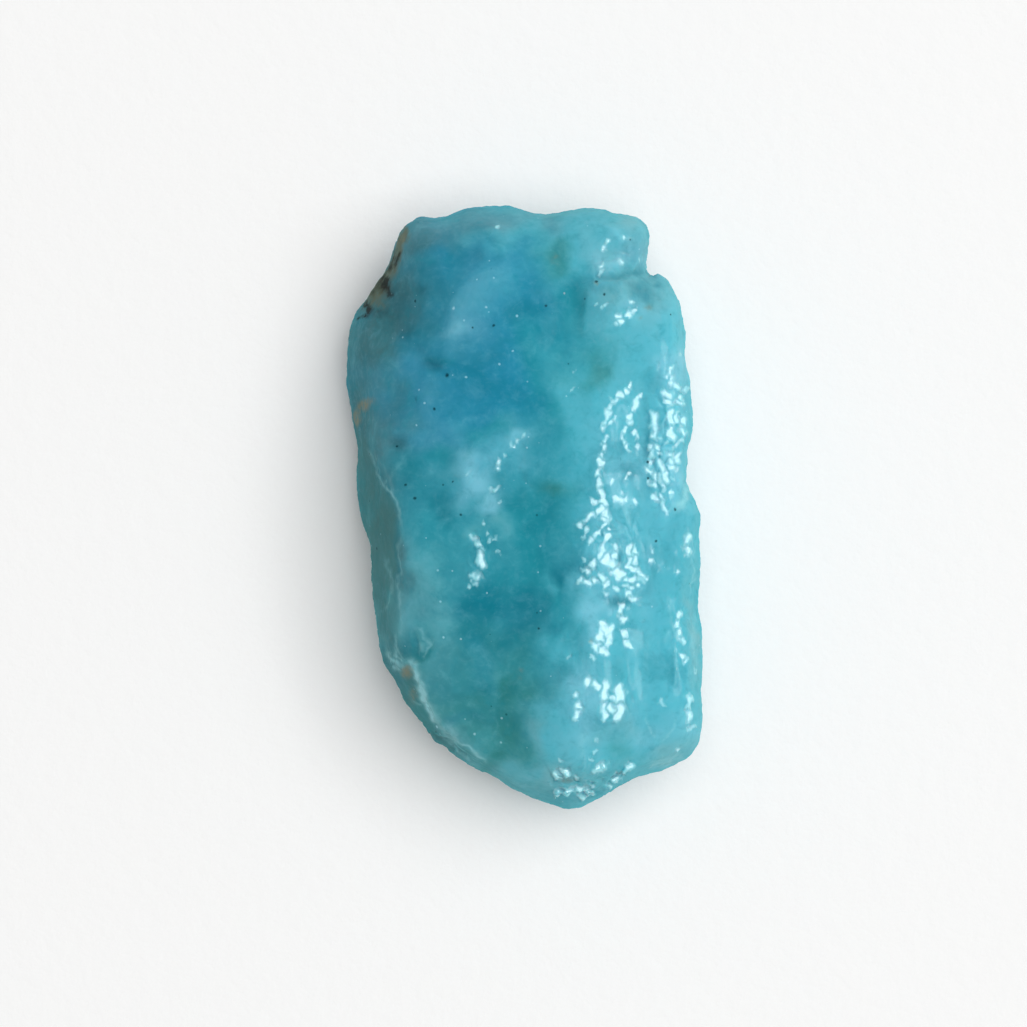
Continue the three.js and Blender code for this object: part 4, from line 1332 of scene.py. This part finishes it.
def paintLarimar(material, body):
    material.use_nodes = True
    tree = material.node_tree
    tree.nodes.clear()
    place = scaled(tree, addNode(tree, "ShaderNodeTexCoord").outputs["Object"], 1 / mm)
    bent = warped(tree, place, *clouds["bends"])

    colour, lace = mottled(tree, place, bent, attribute(tree, "tint", "Color"))
    # painted shade: the smudges in part, the slate flanks and the creases
    for name, tint in (("smudgeAndShade", "ink"), ("shaded", "flankShade"), ("creaseShade", "deepTeal")):
        colour = blend(tree, attribute(tree, name), colour, tints[tint])
    colour = shadedFolds(tree, colour)

    # painted highlight: the flakes are painted pale cyan, so that they look lit also where they don't
    # mirror the window
    flaked = attribute(tree, "flaked")
    for name, mask in (("flakeHighlight", flaked), ("vein", attribute(tree, "vein"))):
        uneven = remap(tree, lace, 0.3, 0.6, *strengths[name])
        colour = blend(tree, times(tree, mask, uneven), colour, tints[name])

    fleck = speckleMask(tree, place, *specks["fleck"])
    dust = speckleMask(tree, vectorMaths(tree, "ADD", place, (31.0, 7.0, 3.0)), *specks["dust"])
    # the white flecks are partly painted glints
    colour = blend(tree, times(tree, fleck, strengths["fleck"]), colour, tints["spark"])
    colour = blend(tree, times(tree, dust, strengths["dust"]), colour, tints["ink"])
    colour, host = rocky(tree, place, colour)
    grain = times(tree, dotMask(tree, place, grains, body), strengths["grain"])
    colour = blend(tree, grain, colour, tints["ink"])
    # painted glints: the sparkles
    sparkle = times(tree, dotMask(tree, place, sparkles, body), strengths["sparkle"])
    colour = blend(tree, sparkle, colour, tints["spark"])

    # the host rock, the grains and the dust stay dull, and the fresh flakes shine most
    glossy = remap(tree, flaked, 0.0, 0.8, finish["plainGloss"], 1.0)
    dark = maths(tree, "MAXIMUM", host, maths(tree, "MAXIMUM", grain, dust))
    dull = maths(tree, "SUBTRACT", 1.0, dark)
    polish = times(tree, attribute(tree, "polish"), finish["polish"], glossy, dull)
    polish = maths(tree, "ADD", polish, finish["leastPolish"])
    bump = skinBump(tree, place, bent, fleck)

    shader = addNode(
        tree, "ShaderNodeBsdfPrincipled",
        {"Base Color": colour, "Roughness": finish["roughness"], "Specular IOR Level": finish["specular"],
         "Coat Weight": polish, "Coat Roughness": finish["polishRoughness"],
         "Coat IOR": finish["polishIor"], "Coat Normal": bump, "Normal": bump,
         "Subsurface Weight": finish["scatter"], "Subsurface Scale": finish["scatterDepth"] * mm,
         "Subsurface Radius": finish["scatterColour"]},
        subsurface_method="RANDOM_WALK",
    )
    addNode(tree, "ShaderNodeOutputMaterial", {"Surface": shader.outputs[0]})


def makeStone():
    body = roughBody()
    material = bpy.data.materials.new("larimar")
    print("stone's even skin:", len(body.data.vertices), "points")
    carveEdges(body)
    markZones(body)
    print("edges carved:", len(edges))
    growSkin(body, material)
    cutFlakes(body)
    wearFlakes(body)
    print("flakes cut:", sum(len(group) for group in flakes.values()))
    thinPlainPlaces(body)
    flattenBase(body)
    paintPools(body)
    paintMarks(body)
    paintLarimar(material, body)
    body.data.attributes.remove(body.data.attributes["calm"])
    body.data.transform(((mm, 0, 0, 0), (0, mm, 0, 0), (0, 0, mm, 0), (0, 0, 0, 1)))
    body.data.update()
    body.data.shade_smooth()
    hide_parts(stone["node"])
    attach(body, "root")
    print("stone finished:", countTriangles(body.data), "triangles")


makeStone()


# the floor and the light

studio = {
    "floorWidth": 3.0,            # m
    "floorColour": (0.93, 0.93, 0.925, 1),
    "floorGrain": 1.0,            # mm
    "floorBump": 0.15,            # mm
    "floorBumpStrength": 0.35,
    "floorRoughness": 0.9,
    "floorSpecular": 0.1,
    "skyColour": (1.0, 1.0, 1.0, 1),
    "skyStrength": 0.27,
}


def layFloor():
    half = studio["floorWidth"] / 2
    mesh = bpy.data.meshes.new("floor")
    corners = [(-half, -half, 0), (half, -half, 0), (half, half, 0), (-half, half, 0)]
    mesh.from_pydata(corners, [], [(0, 1, 2, 3)])
    floor = meshObject("floor", mesh)
    material = bpy.data.materials.new("pale floor")
    material.use_nodes = True
    tree = material.node_tree
    shader = tree.nodes["Principled BSDF"]
    shader.inputs["Base Color"].default_value = studio["floorColour"]
    shader.inputs["Roughness"].default_value = studio["floorRoughness"]
    shader.inputs["Specular IOR Level"].default_value = studio["floorSpecular"]
    place = scaled(tree, addNode(tree, "ShaderNodeTexCoord").outputs["Object"], 1 / mm)
    felt = noiseAt(tree, place, studio["floorGrain"], 4.0, 0.6)
    deep = studio["floorBump"] * mm
    inputs = {"Strength": studio["floorBumpStrength"], "Distance": deep, "Height": felt}
    bump = addNode(tree, "ShaderNodeBump", inputs)
    tree.links.new(bump.outputs[0], shader.inputs["Normal"])
    mesh.materials.append(material)


def hangLamps():
    for name, lamp in lamps.items():
        light = bpy.data.lights.new(name, "AREA")
        light.shape = "RECTANGLE"
        light.size = lamp["size"][0]
        light.size_y = lamp["size"][1]
        light.energy = lamp["power"]
        holder = bpy.data.objects.new(name, light)
        bpy.context.scene.collection.objects.link(holder)
        way = wayTo(lamp)
        holder.location = boxMiddle + way * lamp["away"]
        holder.rotation_euler = way.to_track_quat("Z", "Y").to_euler()
        holder.visible_camera = False
        holder.visible_diffuse = lamp["lights"]
        holder.visible_glossy = lamp["mirrored"]
    world = bpy.data.worlds.new("soft sky")
    world.use_nodes = True
    sky = world.node_tree.nodes["Background"]
    sky.inputs["Color"].default_value = studio["skyColour"]
    sky.inputs["Strength"].default_value = studio["skyStrength"]
    bpy.context.scene.world = world
    bpy.context.scene.view_settings.view_transform = "Standard"


layFloor()
hangLamps()
print("floor and lamps placed")
